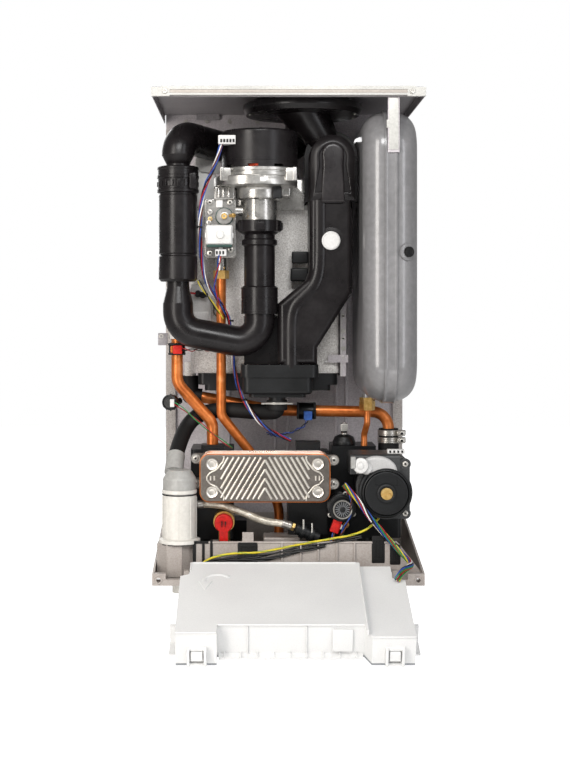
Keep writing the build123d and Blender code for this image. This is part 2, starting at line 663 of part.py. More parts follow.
with BuildPart() as rubber_seals:
    rod((164, RETURN_Y, 177), (164, RETURN_Y, 216), 15.5)
    rod((164, RETURN_Y, 177), (164, RETURN_Y, 192), 16.5)
    rod((164, RETURN_Y, 176), (164, RETURN_Y, 217), WATER_RADIUS, Mode.SUBTRACT)
    rod((return_port[0], RETURN_Y, 300), (return_port[0], RETURN_Y, 268), 13)
    rod((return_port[0], RETURN_Y, 268), (-134, RETURN_Y, 266), 13)
    with Locations((return_port[0], RETURN_Y, 268)):
        Sphere(13)
    fit_to(exchanger_casing, condensate_sump)
    turned([(22.4, 127), (25.8, 127), (25.8, 128), (22.4, 128)], SIPHON)
    fit_to(condensate_hose, return_pipe, siphon_cap)
save(rubber_seals, "rubber_seals")

# ---------------------------------------------------------------- expansion vessel
vessel_mid = ((VESSEL_LOW[0] + VESSEL_HIGH[0]) / 2, (VESSEL_LOW[1] + VESSEL_HIGH[1]) / 2)
vessel_size = (VESSEL_HIGH[0] - VESSEL_LOW[0], VESSEL_HIGH[1] - VESSEL_LOW[1])
membrane_half = 1.0


def vessel_profile(x, grow=0.0):
    """The vessel's outline on a plane of constant X, grown or drawn in."""
    with BuildSketch(Plane(origin=(x, *vessel_mid), x_dir=(0, 1, 0), z_dir=(1, 0, 0))) as outline:
        RectangleRounded(vessel_size[0] + 2 * grow, vessel_size[1] + 2 * grow, VESSEL_CORNER + grow)
    return outline.sketch


with BuildPart() as left_room:
    extrude(vessel_profile(VESSEL_X, -4), amount=-(VESSEL_HALF - VESSEL_WALL))
    fillet(left_room.faces().sort_by(Axis.X)[0].edges(), radius=30)

with BuildPart() as right_room:
    extrude(vessel_profile(VESSEL_X, -4), amount=VESSEL_HALF - VESSEL_WALL)
    fillet(right_room.faces().sort_by(Axis.X)[-1].edges(), radius=30)

with BuildPart() as vessel_left_shell:
    extrude(vessel_profile(VESSEL_X - membrane_half, -2), amount=-(VESSEL_HALF - membrane_half))
    fillet(vessel_left_shell.faces().sort_by(Axis.X)[0].edges(), radius=32)
    rod((128, VESSEL_PIPE_Y, 267), (128, VESSEL_PIPE_Y, 290), 8)
    rod((128, VESSEL_PIPE_Y, 266), (128, VESSEL_PIPE_Y, 282), 4, Mode.SUBTRACT)
    fit_to(left_room)
    extrude(vessel_profile(VESSEL_X - membrane_half), amount=-8)
    extrude(vessel_profile(VESSEL_X, -4), amount=-12, mode=Mode.SUBTRACT)
save(vessel_left_shell, "vessel_left_shell")

with BuildPart() as vessel_right_shell:
    extrude(vessel_profile(VESSEL_X + membrane_half, -2), amount=VESSEL_HALF - membrane_half)
    fillet(vessel_right_shell.faces().sort_by(Axis.X)[-1].edges(), radius=32)
    nipple = Vector(cos(radians(62)), -sin(radians(62)), 0)
    nipple_foot = Vector(161, -253, 490)
    rod(tuple(nipple_foot + nipple * 20), tuple(nipple_foot + nipple * 37), 6)
    extrude(vessel_profile(VESSEL_X + membrane_half), amount=5)
    fit_to(right_room)
    extrude(vessel_profile(VESSEL_X, -4), amount=8, mode=Mode.SUBTRACT)
save(vessel_right_shell, "vessel_right_shell")

with BuildPart() as vessel_membrane:
    extrude(vessel_profile(VESSEL_X - membrane_half), amount=2 * membrane_half)
save(vessel_membrane, "vessel_membrane")

with BuildPart() as vessel_brackets:
    block((146, FRONT + 1.3, 636), (163, FRONT + 3.3, TOP - SHEET))
    block((146, FRONT + 3.3, 636), (163, -284, 650))
    block((85.5, -136, 300), (87.5, -20, 520))
    block((85.5, -136, 300), (94.5, -134, 520))
    block((66, -138, 322), (98, -136, 334))
    block((66, -138, 322), (98, -131, 324))
    fit_to(frame_screws, vessel_left_shell, vessel_right_shell, vessel_membrane, exchanger_casing)
save(vessel_brackets, "vessel_brackets")

vessel_route = [(128, VESSEL_PIPE_Y, 267), (128, VESSEL_PIPE_Y, 226), (124, -126, 208), (124, -126, 190)]
with BuildPart() as vessel_pipe:
    pipe(vessel_route, [16, 16], 5, 3.5)
save(vessel_pipe, "vessel_pipe")

# ---------------------------------------------------------------- plate heat exchanger
plate_mid_x = (PLATE_LOW[0] + PLATE_HIGH[0]) / 2
plate_mid_z = (PLATE_LOW[2] + PLATE_HIGH[2]) / 2
plate_half_z = (PLATE_HIGH[2] - PLATE_LOW[2]) / 2
chevron_pitch = 8.2
chevron_width = 3.2
chevron_slope = 1.7
chevron_count = 21
plate_face = Plane(origin=(plate_mid_x, PLATE_LOW[1], plate_mid_z), x_dir=(1, 0, 0), z_dir=(0, -1, 0))

with BuildPart() as plate_exchanger:
    with BuildSketch(plate_face) as plate_outline:
        RectangleRounded(PLATE_HIGH[0] - PLATE_LOW[0], 2 * plate_half_z, 14)
    extrude(plate_outline.sketch, amount=-(PLATE_HIGH[1] - PLATE_LOW[1]))
    fillet(plate_exchanger.faces().sort_by(Axis.Y)[0].edges(), radius=2)
    with BuildSketch(plate_face) as chevrons:
        reach = 65.0
        rib_height = chevron_width * chevron_slope
        for index in range(-5, chevron_count):
            apex = 28 - (index - 2) * chevron_pitch * chevron_slope + 30
            drop = reach * chevron_slope
            with BuildLine():
                Polyline(
                    (0, apex),
                    (reach, apex - drop),
                    (reach, apex - drop - rib_height),
                    (0, apex - rib_height),
                    (-reach, apex - drop - rib_height),
                    (-reach, apex - drop),
                    close=True,
                )
            make_face()
        Rectangle(130, 2 * plate_half_z - 8, mode=Mode.INTERSECT)
    extrude(chevrons.sketch, amount=1.4)
    with BuildSketch(plate_face) as dimples:
        with GridLocations(2 * PLATE_PORT_X, 2 * PLATE_PORT_Z, 2, 2):
            Circle(7.5)
            Circle(5, mode=Mode.SUBTRACT)
    extrude(dimples.sketch, amount=1.2)
    for x, y, z in plate_ears:
        rod((x, y, z), (x, y + 6, z), 8)
        near = PLATE_LOW[0] + 4 if x < 0 else PLATE_HIGH[0] - 4
        left, right = sorted((x, near))
        block((left, y, z - 8), (right, y + 6, z + 8))
    fit_to(frame_screws)
save(plate_exchanger, "plate_exchanger")

# ---------------------------------------------------------------- diverter and safety valves
spindle_radius = 3.0
with BuildPart() as diverter_spindle:
    dx, dz = DIVERTER
    rod((dx, -206, dz), (dx, -150, dz), spindle_radius)
    rod((dx, -162, dz), (dx, -158, dz), 9)
save(diverter_spindle, "diverter_spindle")

with BuildPart() as diverter_motor:
    rod((dx, -199, dz), (dx, -240, dz), 20)
    fillet(diverter_motor.faces().sort_by(Axis.Y)[0].edges(), radius=2)
    rod((dx, -240, dz), (dx, -250, dz), 14)
    rod((dx, -246, dz), (dx, -251, dz), 11, Mode.SUBTRACT)
    with Locations((dx, -247.4, dz)):
        with Locations(Plane(origin=(0, 0, 0), z_dir=(0, -1, 0))):
            with PolarLocations(6.2, 16):
                Box(9.6, 1.2, 3)
    for angle in (75, 215, 330):
        x = dx + 21 * cos(radians(angle))
        z = dz + 21 * sin(radians(angle))
        rod((x, -199, z), (x, -222, z), 4)
    rod((dx, -198, dz), (dx, -220, dz), spindle_radius + RUNNING, Mode.SUBTRACT)
save(diverter_motor, "diverter_motor")

sx, sz = SAFETY
with BuildPart() as safety_knob:
    rod((sx, -231, sz), (sx, -243, sz), 13.7)
    fillet(safety_knob.faces().sort_by(Axis.Y)[0].edges(), radius=2)
    block((sx - 6.5, -243, sz - 31), (sx + 6.5, -236, sz - 4))
    for offset_x in (-2.6, 2.6):
        block((sx + offset_x - 0.9, -244, sz - 6), (sx + offset_x + 0.9, -241, sz + 1), Mode.SUBTRACT)
    rod((sx, -231, sz), (sx, -222, sz), 5)
save(safety_knob, "safety_knob")

with BuildPart() as safety_valve:
    rod((sx, -190, sz), (sx, -225, sz), 16)
    rod((sx, -225, sz), (sx, -230.6, sz), 14)
    rod((sx, -205, sz), (sx, -205, 40), 9)
    rod((sx, -221, sz), (sx, -232, sz), 5 + RUNNING, Mode.SUBTRACT)
    rod((sx, -205, 39), (sx, -205, sz - 4), 6.5, Mode.SUBTRACT)
save(safety_valve, "safety_valve")

# ---------------------------------------------------------------- pump
px, pz = PUMP
rotor_radius = 26.0
with BuildPart() as pump_rotor:
    rod((px, -230, pz), (px, -176, pz), rotor_radius)
    rod((px, -243, pz), (px, -138, pz), shaft_radius)
    rod((px, -168, pz), (px, -165, pz), 28)
    rod((px, -165, pz), (px, -152, pz), 8)
    with Locations(Plane(origin=(px, -159, pz), z_dir=(0, -1, 0))):
        with PolarLocations(17, 7):
            Box(20, 1.6, 12, rotation=(0, 0, 30))
save(pump_rotor, "pump_rotor")

with BuildPart() as pump_bleed_screw:
    rod((px, PUMP_FACE - 4, pz), (px, PUMP_FACE + 1, pz), 8.8)
    rod((px, PUMP_FACE + 1, pz), (px, PUMP_FACE + 7, pz), 6)
    block((px - 7, PUMP_FACE - 5, pz - 1), (px + 7, PUMP_FACE - 2.6, pz + 1), Mode.SUBTRACT)
save(pump_bleed_screw, "pump_bleed_screw")

with BuildPart() as pump_motor:
    rod((px, -246, pz), (px, PUMP_FACE, pz), 33)
    fillet(pump_motor.faces().sort_by(Axis.Y)[0].edges(), radius=2.5)
    block((px - 17, PUMP_FACE - 1, pz + 12), (px + 17, PUMP_FACE + 1.4, pz + 25), Mode.SUBTRACT)
    rod((px, PUMP_FACE - 2, pz), (px, PUMP_FACE + 1, pz), 13)
    rod((px, PUMP_FACE - 3, pz), (px, PUMP_FACE + 1, pz), 8.8 + GAP, Mode.SUBTRACT)
    rod((px, PUMP_FACE, pz), (px, PUMP_FACE + 7.5, pz), 6 + RUNNING, Mode.SUBTRACT)
save(pump_motor, "pump_motor")

with BuildPart() as pump_housing:
    rod((px, -246, pz), (px, -135, pz), 40)
    block((px, -246, 92), (183, -178, 182))
    fillet(pump_housing.edges().filter_by(Axis.Y).group_by(Axis.X)[-1], radius=10)
    block((93, -250, 159), (168, -170, 188))
    fillet(pump_housing.faces().sort_by(Axis.Z)[-1].edges(), radius=5)
    rod((px, -234, pz), (px, -140, pz), 30, Mode.SUBTRACT)
    rod((px, -247, pz), (px, -233, pz), shaft_radius + RUNNING, Mode.SUBTRACT)
    rod((px, -141, pz), (px, -134, pz), shaft_radius + RUNNING, Mode.SUBTRACT)
    fit_to(frame_screws, pump_motor)
save(pump_housing, "pump_housing")

# ---------------------------------------------------------------- hydraulic blocks
port_places = [plate_mid_x - PLATE_PORT_X, plate_mid_x + PLATE_PORT_X]
stub_pairs = ((-130.0, 11.0), (-80.0, 7.5), (60.0, 7.5), (125.0, 11.0))

with BuildPart() as left_manifold:
    block((-148, -190, 52), (-82, -95, 190))
    fillet(left_manifold.edges().filter_by(Axis.Z), radius=6)
    block((-132, -182, 190), (-98, -148, 196))
    block((-148, -150, 45), (-62, -95, 75))
    rod((-115, PIPE_Y, 176), (-115, PIPE_Y, 197), 8, Mode.SUBTRACT)
    for z in (plate_mid_z - PLATE_PORT_Z, plate_mid_z + PLATE_PORT_Z):
        rod((port_places[0], -190, z), (port_places[0], PLATE_HIGH[1], z), 9)
    block((sx - 8, -196, sz - 3), (sx + 8, -190, sz + 3))
    for x, r in stub_pairs[:2]:
        rod((x, STUB_Y, STUB_END), (x, STUB_Y, 50), r)
        rod((x, STUB_Y, -STUB_SHOULDER), (x, STUB_Y, 50), r + STUB_SHOULDER)
        rod((x, STUB_Y, STUB_END - 1), (x, STUB_Y, 60), r - 1.5, Mode.SUBTRACT)
    fit_to(gas_pipe, safety_valve, flow_pipe, condensate_hose)
save(left_manifold, "left_manifold")

with BuildPart() as right_manifold:
    block((50, -134, 45), (182, -60, 176))
    fillet(right_manifold.edges().filter_by(Axis.Z), radius=6)
    block((72, -134, 176), (142, -60, 190))
    block((2, -190, 60), (62, -118, 115))
    block((30, -186, 115), (64, -150, 188))
    block((14, -180, 188), (52, -154, 201))
    rod((dx, -134, dz), (dx, -199, dz), 19)
    rod((dx, -120, dz), (dx, -196, dz), 12, Mode.SUBTRACT)
    rod((dx, -190, dz), (dx, -200, dz), spindle_radius + RUNNING, Mode.SUBTRACT)
    for z in (plate_mid_z - PLATE_PORT_Z, plate_mid_z + PLATE_PORT_Z):
        rod((port_places[1], -186, z), (port_places[1], PLATE_HIGH[1], z), 9)
    for x, r in stub_pairs[2:]:
        rod((x, STUB_Y, STUB_END), (x, STUB_Y, 50), r)
        rod((x, STUB_Y, -STUB_SHOULDER), (x, STUB_Y, 50), r + STUB_SHOULDER)
        rod((x, STUB_Y, STUB_END - 1), (x, STUB_Y, 60), r - 1.5, Mode.SUBTRACT)
    rod((164, RETURN_Y, 160), (164, RETURN_Y, 177), 9)
    rod((164, RETURN_Y, 150), (164, RETURN_Y, 178), 7, Mode.SUBTRACT)
    rod((124, -126, 178), (124, -126, 191), 3.5, Mode.SUBTRACT)
    fit_to(pump_housing, gas_pipe, diverter_motor)
save(right_manifold, "right_manifold")

with BuildPart() as air_vent:
    turned(
        [(0, 190), (17.5, 190), (17.5, 197), (15, 203), (8, 206), (5, 207), (5, 224), (3, 225), (0, 225)],
        (93, -112),
    )
save(air_vent, "air_vent")

# ---------------------------------------------------------------- filling loop
FILL_Y = -230.0
with BuildPart() as filling_valve:
    rod((14, FILL_Y, 75), (47, FILL_Y, 61), 9)
    rod((20, FILL_Y, 72.5), (24, FILL_Y, 70.8), 11)
    rod((33, FILL_Y, 67), (37, FILL_Y, 65.3), 11)
    rod((31, FILL_Y, 68), (31, -190, 68), 7)
    rod((40, FILL_Y, 64), (40, FILL_Y, 50), 6)
    rod((6, FILL_Y, 78.4), (14, FILL_Y, 75), 5)
save(filling_valve, "filling_valve")

BRAID_RADIUS = 4.8
braid_route = [
    (-136, -214, 109),
    (-108, -216, 111),
    (-72, -222, 100),
    (-36, -227, 85),
    (-8, FILL_Y, 82.5),
    (6, FILL_Y, 78.4),
]
with BuildPart() as filling_hose:
    pipe(braid_route, bend_radii(braid_route, 150), BRAID_RADIUS, BRAID_RADIUS - 1.5)
    rod((-8, FILL_Y, 82.9), (5.4, FILL_Y, 78.6), 6.4)
    rod((-9, FILL_Y, 83.3), (6, FILL_Y, 78.4), BRAID_RADIUS - 1.5, Mode.SUBTRACT)
    fit_to(siphon_cup, filling_valve)
save(filling_hose, "filling_hose")
print("filling hose bends", [round(r) for r in bend_radii(braid_route, 150)])

# ---------------------------------------------------------------- plug-in sensors
with BuildPart() as water_sensors:
    block((FLOW_X - 13, PIPE_Y - 16, 336), (FLOW_X + 11, PIPE_Y + 6, 352))
    block((28, RETURN_Y - 16, 235), (54, RETURN_Y - 3, 251))
    rod((-179, -174, 262), (-179, -187, 262), 12)
    rod((-179, -176, 262), (-158, -118, 266), 5)
    rod((109, -250, 172), (108, -262, 173), 11.5)
    rod((FLOW_X, PIPE_Y, 330), (FLOW_X, PIPE_Y, 360), WATER_RADIUS, Mode.SUBTRACT)
    rod(return_route[1], return_route[2], WATER_RADIUS, Mode.SUBTRACT)
    fit_to(rubber_seals, pump_housing)
save(water_sensors, "water_sensors")

# ---------------------------------------------------------------- wiring
fan_lead_route = [
    (-99, -236, 655),
    (-104, -245, 628),
    (-128, -238, 585),
    (-134, -222, 530),
    (-130, -200, 470),
    (-121, -185, 440),
    (-102, -181, 416),
    (-87, -175, 388),
    (-85, -172, 345),
    (-78, -172, 290),
    (-58, -180, 250),
    (-28, -184, 216),
    (6, -180, 203),
]
control_lead_route = [
    (84, -256, 145),
    (104, -258, 122),
    (121, -261.5, 95),
    (148, -261, 66),
    (168, -265, 44),
    (182, -282, 32),
    (178, -306, 31),
    (162, -322, 27),
    (155, -328, 15),
]
earth_lead_route = [
    (-134, -258, 20),
    (-124, -258, 34),
    (-80, -257.5, 43),
    (-45, -257.5, 42),
    (10, -257.5, 54),
    (60, -257.5, 63),
    (100, -254, 69),
    (126, -248, 80),
    (138, -240, 93),
]
mains_lead_route = [
    (-110, -258, 27),
    (-72, -258, 34),
    (-30, -258, 32),
    (20, -258, 47),
    (56, -258, 53),
]
with BuildPart() as wiring_loom:
    pipe(fan_lead_route, bend_radii(fan_lead_route, 150), 2.6)
    pipe(control_lead_route, bend_radii(control_lead_route, 150), 2.8)
    pipe(earth_lead_route, bend_radii(earth_lead_route, 150), 2.0)
    pipe(mains_lead_route, bend_radii(mains_lead_route, 150), 2.4)
    fit_to(right_manifold, fan_cover, pump_housing)
save(wiring_loom, "wiring_loom")
for lead, route in (
    ("fan lead", fan_lead_route),
    ("control lead", control_lead_route),
    ("earth lead", earth_lead_route),
    ("mains lead", mains_lead_route),
):
    print(lead, "bends", [round(r) for r in bend_radii(route, 150)])

# ---------------------------------------------------------------- base tray
wall_front = -255.0
side_high = 67.0
side_low = 17.6
ear_low_z = 3.0
lip_high = 58.0
lip_end = 164.0

with BuildPart() as base_tray:
    for side in (-1, 1):
        inner_x = side * (HALF_WIDTH - 3)
        start_x = min(side * HALF_WIDTH, inner_x)
        with BuildSketch(Plane(origin=(start_x, 0, 0), x_dir=(0, 1, 0), z_dir=(1, 0, 0))) as side_wall:
            with BuildLine():
                Polyline(
                    (0, 0), (0, side_high), (FRONT + 20, side_low + 4), (FRONT, side_low), (FRONT, 0),
                    close=True,
                )
            make_face()
        extrude(side_wall.sketch, amount=3)
    block((-HALF_WIDTH, -3, -6), (HALF_WIDTH, 0, side_high))
    block((-HALF_WIDTH, wall_front, 4), (HALF_WIDTH, 0, 7))
    with BuildSketch(Plane(origin=(0, wall_front + 3, 0), x_dir=(1, 0, 0), z_dir=(0, -1, 0))) as front_lip:
        with BuildLine():
            Polyline(
                (-142, 4), (HALF_WIDTH, 4), (HALF_WIDTH, 12), (lip_end, lip_high), (-142, lip_high),
                close=True,
            )
        make_face()
    extrude(front_lip.sketch, amount=3)
    block((-HALF_WIDTH, FRONT, 0), (-154, wall_front, 3))
    block((-HALF_WIDTH, FRONT, 0), (-180, FRONT + 12, side_low))
    block((-180, FRONT, 0), (-154, FRONT + 12, 9))
    block((160, FRONT, 0), (HALF_WIDTH, wall_front, 3))
    block((175, FRONT, 0), (HALF_WIDTH, FRONT + 12, side_low))
    block((160, FRONT, 0), (175, FRONT + 12, 9))
    for low_x, high_x in ((-153.4, -146.4), (152.4, 159.4)):
        block((low_x, FRONT, ear_low_z), (high_x, FRONT + 14, 22))
        block((low_x, FRONT + 12, ear_low_z - 3), (high_x, wall_front + 1, 7))
    with BuildSketch(Plane.XY.offset(7)) as holder:
        with Locations((-169, SIPHON[1])):
            RegularPolygon(radius=28.5, side_count=8, rotation=22.5)
    extrude(holder.sketch, amount=48)
    rod((*SIPHON, -5), (*SIPHON, 60), SPIGOT_RADIUS + STUB_SHOULDER + GAP, Mode.SUBTRACT)
    for x in (-10, 18, 72):
        block((x, wall_front - 1.5, 7), (x + 2.5, wall_front, 55))
    for x in (-190.5, 190.5):
        rod((x, FRONT - 1, 8), (x, FRONT + 14, 8), 3.2, Mode.SUBTRACT)
    for low_x in (-153.4, 152.4):
        ear_start = (low_x - 1, HINGE_Y, HINGE_Z)
        rod(ear_start, (low_x + 9, HINGE_Y, HINGE_Z), PEG_RADIUS + RUNNING, Mode.SUBTRACT)
    for x, r in stub_pairs:
        rod((x, STUB_Y, 0), (x, STUB_Y, 12), r + 2, Mode.SUBTRACT)
    rod((*GAS_STUB, 0), (*GAS_STUB, 12), GAS_RADIUS + 2, Mode.SUBTRACT)
    fit_to(wiring_loom, siphon_cup)
save(base_tray, "base_tray")

# ---------------------------------------------------------------- control box
open_angle = radians(OPEN_TILT)
box_normal = (0, -sin(open_angle), cos(open_angle))
box_plane = Plane(origin=(0, HINGE_Y, HINGE_Z), x_dir=(1, 0, 0), z_dir=box_normal)
BOX_WALL = 2.5
near_end = -BOX_LENGTH


def box_block(low, high, mode=Mode.ADD):
    """A box in the control box's own directions: across, towards the hinge, outwards."""
    with BuildSketch(box_plane.offset(low[2])) as section:
        with Locations(((low[0] + high[0]) / 2, (low[1] + high[1]) / 2)):
            Rectangle(high[0] - low[0], high[1] - low[1])
    extrude(section.sketch, amount=high[2] - low[2], mode=mode)


def box_outline(low_z, depth, inset=0.0, mode=Mode.ADD):
    """The control box's plan with its hinge notches and its front recess."""
    with BuildSketch(box_plane.offset(low_z)) as plan:
        with BuildLine():
            Polyline(
                (-144, BOX_HEEL), (150, BOX_HEEL), (150, -28), (BOX_HIGH_X, -34), (BOX_HIGH_X, near_end),
                (109, near_end), (100, near_end + 20), (-101, near_end + 20), (-101, near_end),
                (BOX_LOW_X, near_end), (BOX_LOW_X, -34), (-144, -28), close=True,
            )
        make_face()
        if inset:
            offset(amount=-inset, kind=Kind.INTERSECTION)
    extrude(plan.sketch, amount=depth, mode=mode)


def on_box(across, back, up):
    """A point of the control box in the boiler's frame."""
    return tuple(box_plane.from_local_coords(Vector(across, back, up)))


knob_places = ((-70.0, -100.0), (75.0, -100.0))
KNOB_RADIUS = 16.0
button_place = (2.0, -140.0)
BUTTON_RADIUS = 5.0
panel_low = -34.7
knob_stem = 5.0

with BuildPart() as control_box:
    box_outline(BOX_BOTTOM, BOX_TOP - BOX_BOTTOM)
    box_block((104, -200, 10.5), (180, 20, 20), Mode.SUBTRACT)
    box_outline(BOX_BOTTOM - 1, BOX_TOP - BOX_BOTTOM + 1 - 9.3, BOX_WALL, Mode.SUBTRACT)
    with BuildSketch(box_plane.offset(5)) as deep_room:
        with BuildLine():
            Polyline(
                (-140, 3), (99, 3), (99, near_end + 24), (-98, near_end + 24), (-98, -40), (-140, -30),
                close=True,
            )
        make_face()
    extrude(deep_room.sketch, amount=BOX_TOP - 5 - BOX_WALL, mode=Mode.SUBTRACT)
    box_block((-99, near_end + 7, BOX_BOTTOM), (98, near_end + 20, BOX_BOTTOM + 3))
    box_block((58, near_end + 18.5, -22), (82, near_end + 20, 8))
    for low_x, high_x in ((-141, -115), (127, 152)):
        box_block((low_x, near_end - 9, BOX_BOTTOM), (high_x, near_end, BOX_BOTTOM + 3))
        box_block((low_x, near_end - 5, BOX_BOTTOM), (low_x + 3, near_end, -6))
        box_block((high_x - 3, near_end - 5, BOX_BOTTOM), (high_x, near_end, -6))
        box_block((low_x, near_end - 5, -9), (high_x, near_end, -6))
        box_block((low_x + 9, near_end - 3, -26), (high_x - 9, near_end, -14))
    for low_x, high_x in ((-167, BOX_LOW_X + 1), (BOX_HIGH_X - 1, 177)):
        box_block((low_x, -165, BOX_BOTTOM), (high_x, -128, BOX_BOTTOM + 2.5))
        box_block((low_x, -134, BOX_BOTTOM), (high_x, -128, -4))
    rod((-142, HINGE_Y, HINGE_Z), (-153.4, HINGE_Y, HINGE_Z), PEG_RADIUS)
    rod((148, HINGE_Y, HINGE_Z), (159.4, HINGE_Y, HINGE_Z), PEG_RADIUS)
save(control_box, "control_box")

with BuildPart() as control_panel:
    box_outline(panel_low, BOX_BOTTOM - panel_low)
    box_block((-30, -110, panel_low - 1), (34, -78, BOX_BOTTOM + 1), Mode.SUBTRACT)
    for across, back in knob_places:
        stem_low = on_box(across, back, panel_low - 1)
        rod(stem_low, on_box(across, back, BOX_BOTTOM + 1), knob_stem + RUNNING, Mode.SUBTRACT)
    button_low = on_box(*button_place, panel_low - 1)
    rod(button_low, on_box(*button_place, BOX_BOTTOM + 1), BUTTON_RADIUS + RUNNING, Mode.SUBTRACT)
save(control_panel, "control_panel")

with BuildPart() as display_board:
    box_block((-90, -125, -21), (95, -55, -19.4))
    box_block((-28, -108, -33.5), (32, -80, -21))
    for across, back in knob_places:
        rod(on_box(across, back, -21), on_box(across, back, -24), 8)
save(display_board, "display_board")

for name, (across, back) in zip(("heating_knob", "hot_water_knob"), knob_places):
    with BuildPart() as knob:
        rod(on_box(across, back, panel_low - 0.5), on_box(across, back, panel_low - 6), KNOB_RADIUS)
        mark_end = (across + 1, back + KNOB_RADIUS, panel_low - 5)
        box_block((across - 1, back + 5, panel_low - 7), mark_end, Mode.SUBTRACT)
        rod(on_box(across, back, panel_low - 0.5), on_box(across, back, -24.4), knob_stem)
    save(knob, name)

with BuildPart() as reset_button:
    rod(on_box(*button_place, panel_low - 2.5), on_box(*button_place, BOX_BOTTOM + 1.5), BUTTON_RADIUS)
    rod(on_box(*button_place, BOX_BOTTOM + 0.2), on_box(*button_place, BOX_BOTTOM + 1.5), BUTTON_RADIUS + 1.5)
save(reset_button, "reset_button")
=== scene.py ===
# %% [markdown]
# # A combi boiler with its casing off
#
# The object is a wall-hung condensing boiler. Its outer casing is off and its white control
# box is hinged down, so fan, pipes, heat exchangers, vessel and pump all show. The solid
# model already holds every piece at its real size and place. This lesson dresses it: each
# surface gets a finish worked out from what the real one is made of, and what is too soft
# or too fine for the solid model (wires, braid, plugs, seals) is modelled here.

# %% Load the solid model
import math

import bmesh
import bpy
from mathutils import Matrix, Vector


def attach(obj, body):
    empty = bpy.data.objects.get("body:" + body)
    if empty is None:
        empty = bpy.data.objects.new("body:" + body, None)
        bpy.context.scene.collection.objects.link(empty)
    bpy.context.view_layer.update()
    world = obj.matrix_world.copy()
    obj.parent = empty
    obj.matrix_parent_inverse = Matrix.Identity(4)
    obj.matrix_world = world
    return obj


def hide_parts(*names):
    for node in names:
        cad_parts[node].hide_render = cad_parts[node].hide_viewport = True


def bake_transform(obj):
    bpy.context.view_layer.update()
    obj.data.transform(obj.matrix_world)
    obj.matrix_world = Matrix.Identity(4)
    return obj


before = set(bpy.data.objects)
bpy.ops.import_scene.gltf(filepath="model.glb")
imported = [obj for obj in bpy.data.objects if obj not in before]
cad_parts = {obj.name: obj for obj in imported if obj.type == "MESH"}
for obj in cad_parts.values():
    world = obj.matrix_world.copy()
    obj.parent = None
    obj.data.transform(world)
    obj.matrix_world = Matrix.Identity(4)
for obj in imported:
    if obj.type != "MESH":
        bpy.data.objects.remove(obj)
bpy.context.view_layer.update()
MM = 0.001

# %% [markdown]
# ## Camera
#
# The photograph looks straight at the boiler from about 2.3 m, a little above its middle.
# The camera stays level, so uprights stay upright, and the lens is shifted instead of tilted,
# as a product photographer does with a view camera.

# %% The camera
CAMERA_MM = (-52.0, -2340.0, 401.5)
LENS_MM = 66.4
SENSOR_MM = 36.0
FRAME_PIXELS = (570, 758)
STRAIGHT_AHEAD_PIXEL = (253.0, 312.0)  # where the line straight ahead meets the picture

camera_data = bpy.data.cameras.new("view_camera")
camera_data.lens = LENS_MM
camera_data.sensor_width = SENSOR_MM
longest_side = max(FRAME_PIXELS)
camera_data.shift_x = (FRAME_PIXELS[0] / 2 - STRAIGHT_AHEAD_PIXEL[0]) / longest_side
camera_data.shift_y = (STRAIGHT_AHEAD_PIXEL[1] - FRAME_PIXELS[1] / 2) / longest_side
camera = bpy.data.objects.new("view_camera", camera_data)
camera.location = Vector(CAMERA_MM) * MM
camera.rotation_euler = (math.radians(90), 0, 0)
bpy.context.scene.collection.objects.link(camera)
bpy.context.scene.camera = camera
print("camera at", [round(v, 3) for v in camera.location])

# %% [markdown]
# ## Studio
#
# The boiler hangs on a wall, so the floor lies well below it. Big soft lamps stand left,
# right, above, below and behind, because broad lamps draw long calm reflections on pipes
# and enamel. The surroundings look white to the camera, and are dimmer to the object, so
# that shaded gaps between the pieces stay dark.

# %% Colour and node helpers
def rgb(hex_colour):
    """Turns an sRGB hex value into the linear colour that the shaders expect."""
    channels = [int(hex_colour[i:i + 2], 16) / 255 for i in (1, 3, 5)]
    return (*[c / 12.92 if c <= 0.04045 else ((c + 0.055) / 1.055) ** 2.4 for c in channels], 1.0)


def add(tree, kind, settings=None, feeds=None):
    """Adds one shader node, sets its properties and sockets, and links what feeds it."""
    made = tree.nodes.new(kind)
    for key, value in (settings or {}).items():
        if isinstance(key, str) and key in made.bl_rna.properties:
            setattr(made, key, value)
        else:
            made.inputs[key].default_value = value
    for socket, source in (feeds or {}).items():
        tree.links.new(source, made.inputs[socket])
    return made


# %% Lamps, floor and surroundings
def softbox(name, place, aim, width, height, watts, colour):
    """A rectangular lamp that faces its aim point."""
    data = bpy.data.lights.new(name, "AREA")
    data.shape = "RECTANGLE"
    data.size, data.size_y = width, height
    data.energy = watts
    data.color = rgb(colour)[:3]
    lamp = bpy.data.objects.new(name, data)
    lamp.location = place
    lamp.rotation_euler = (Vector(aim) - Vector(place)).to_track_quat("-Z", "Y").to_euler()
    bpy.context.scene.collection.objects.link(lamp)


MIDDLE = (0, -0.15, 0.38)
softbox("left_strip", (-1.15, -1.85, 0.75), MIDDLE, 0.6, 1.9, 30, "#fffaf4")
softbox("right_strip", (1.3, -1.7, 0.7), MIDDLE, 0.4, 1.9, 10, "#f8faff")
softbox("overhead", (0.1, -2.0, 1.5), MIDDLE, 1.0, 0.5, 24, "#ffffff")
softbox("low_fill", (-0.2, -1.9, -0.55), MIDDLE, 1.6, 0.4, 3.5, "#ffffff")
softbox("back_lamp", (-0.6, 1.9, 1.2), MIDDLE, 1.8, 1.4, 22, "#ffffff")

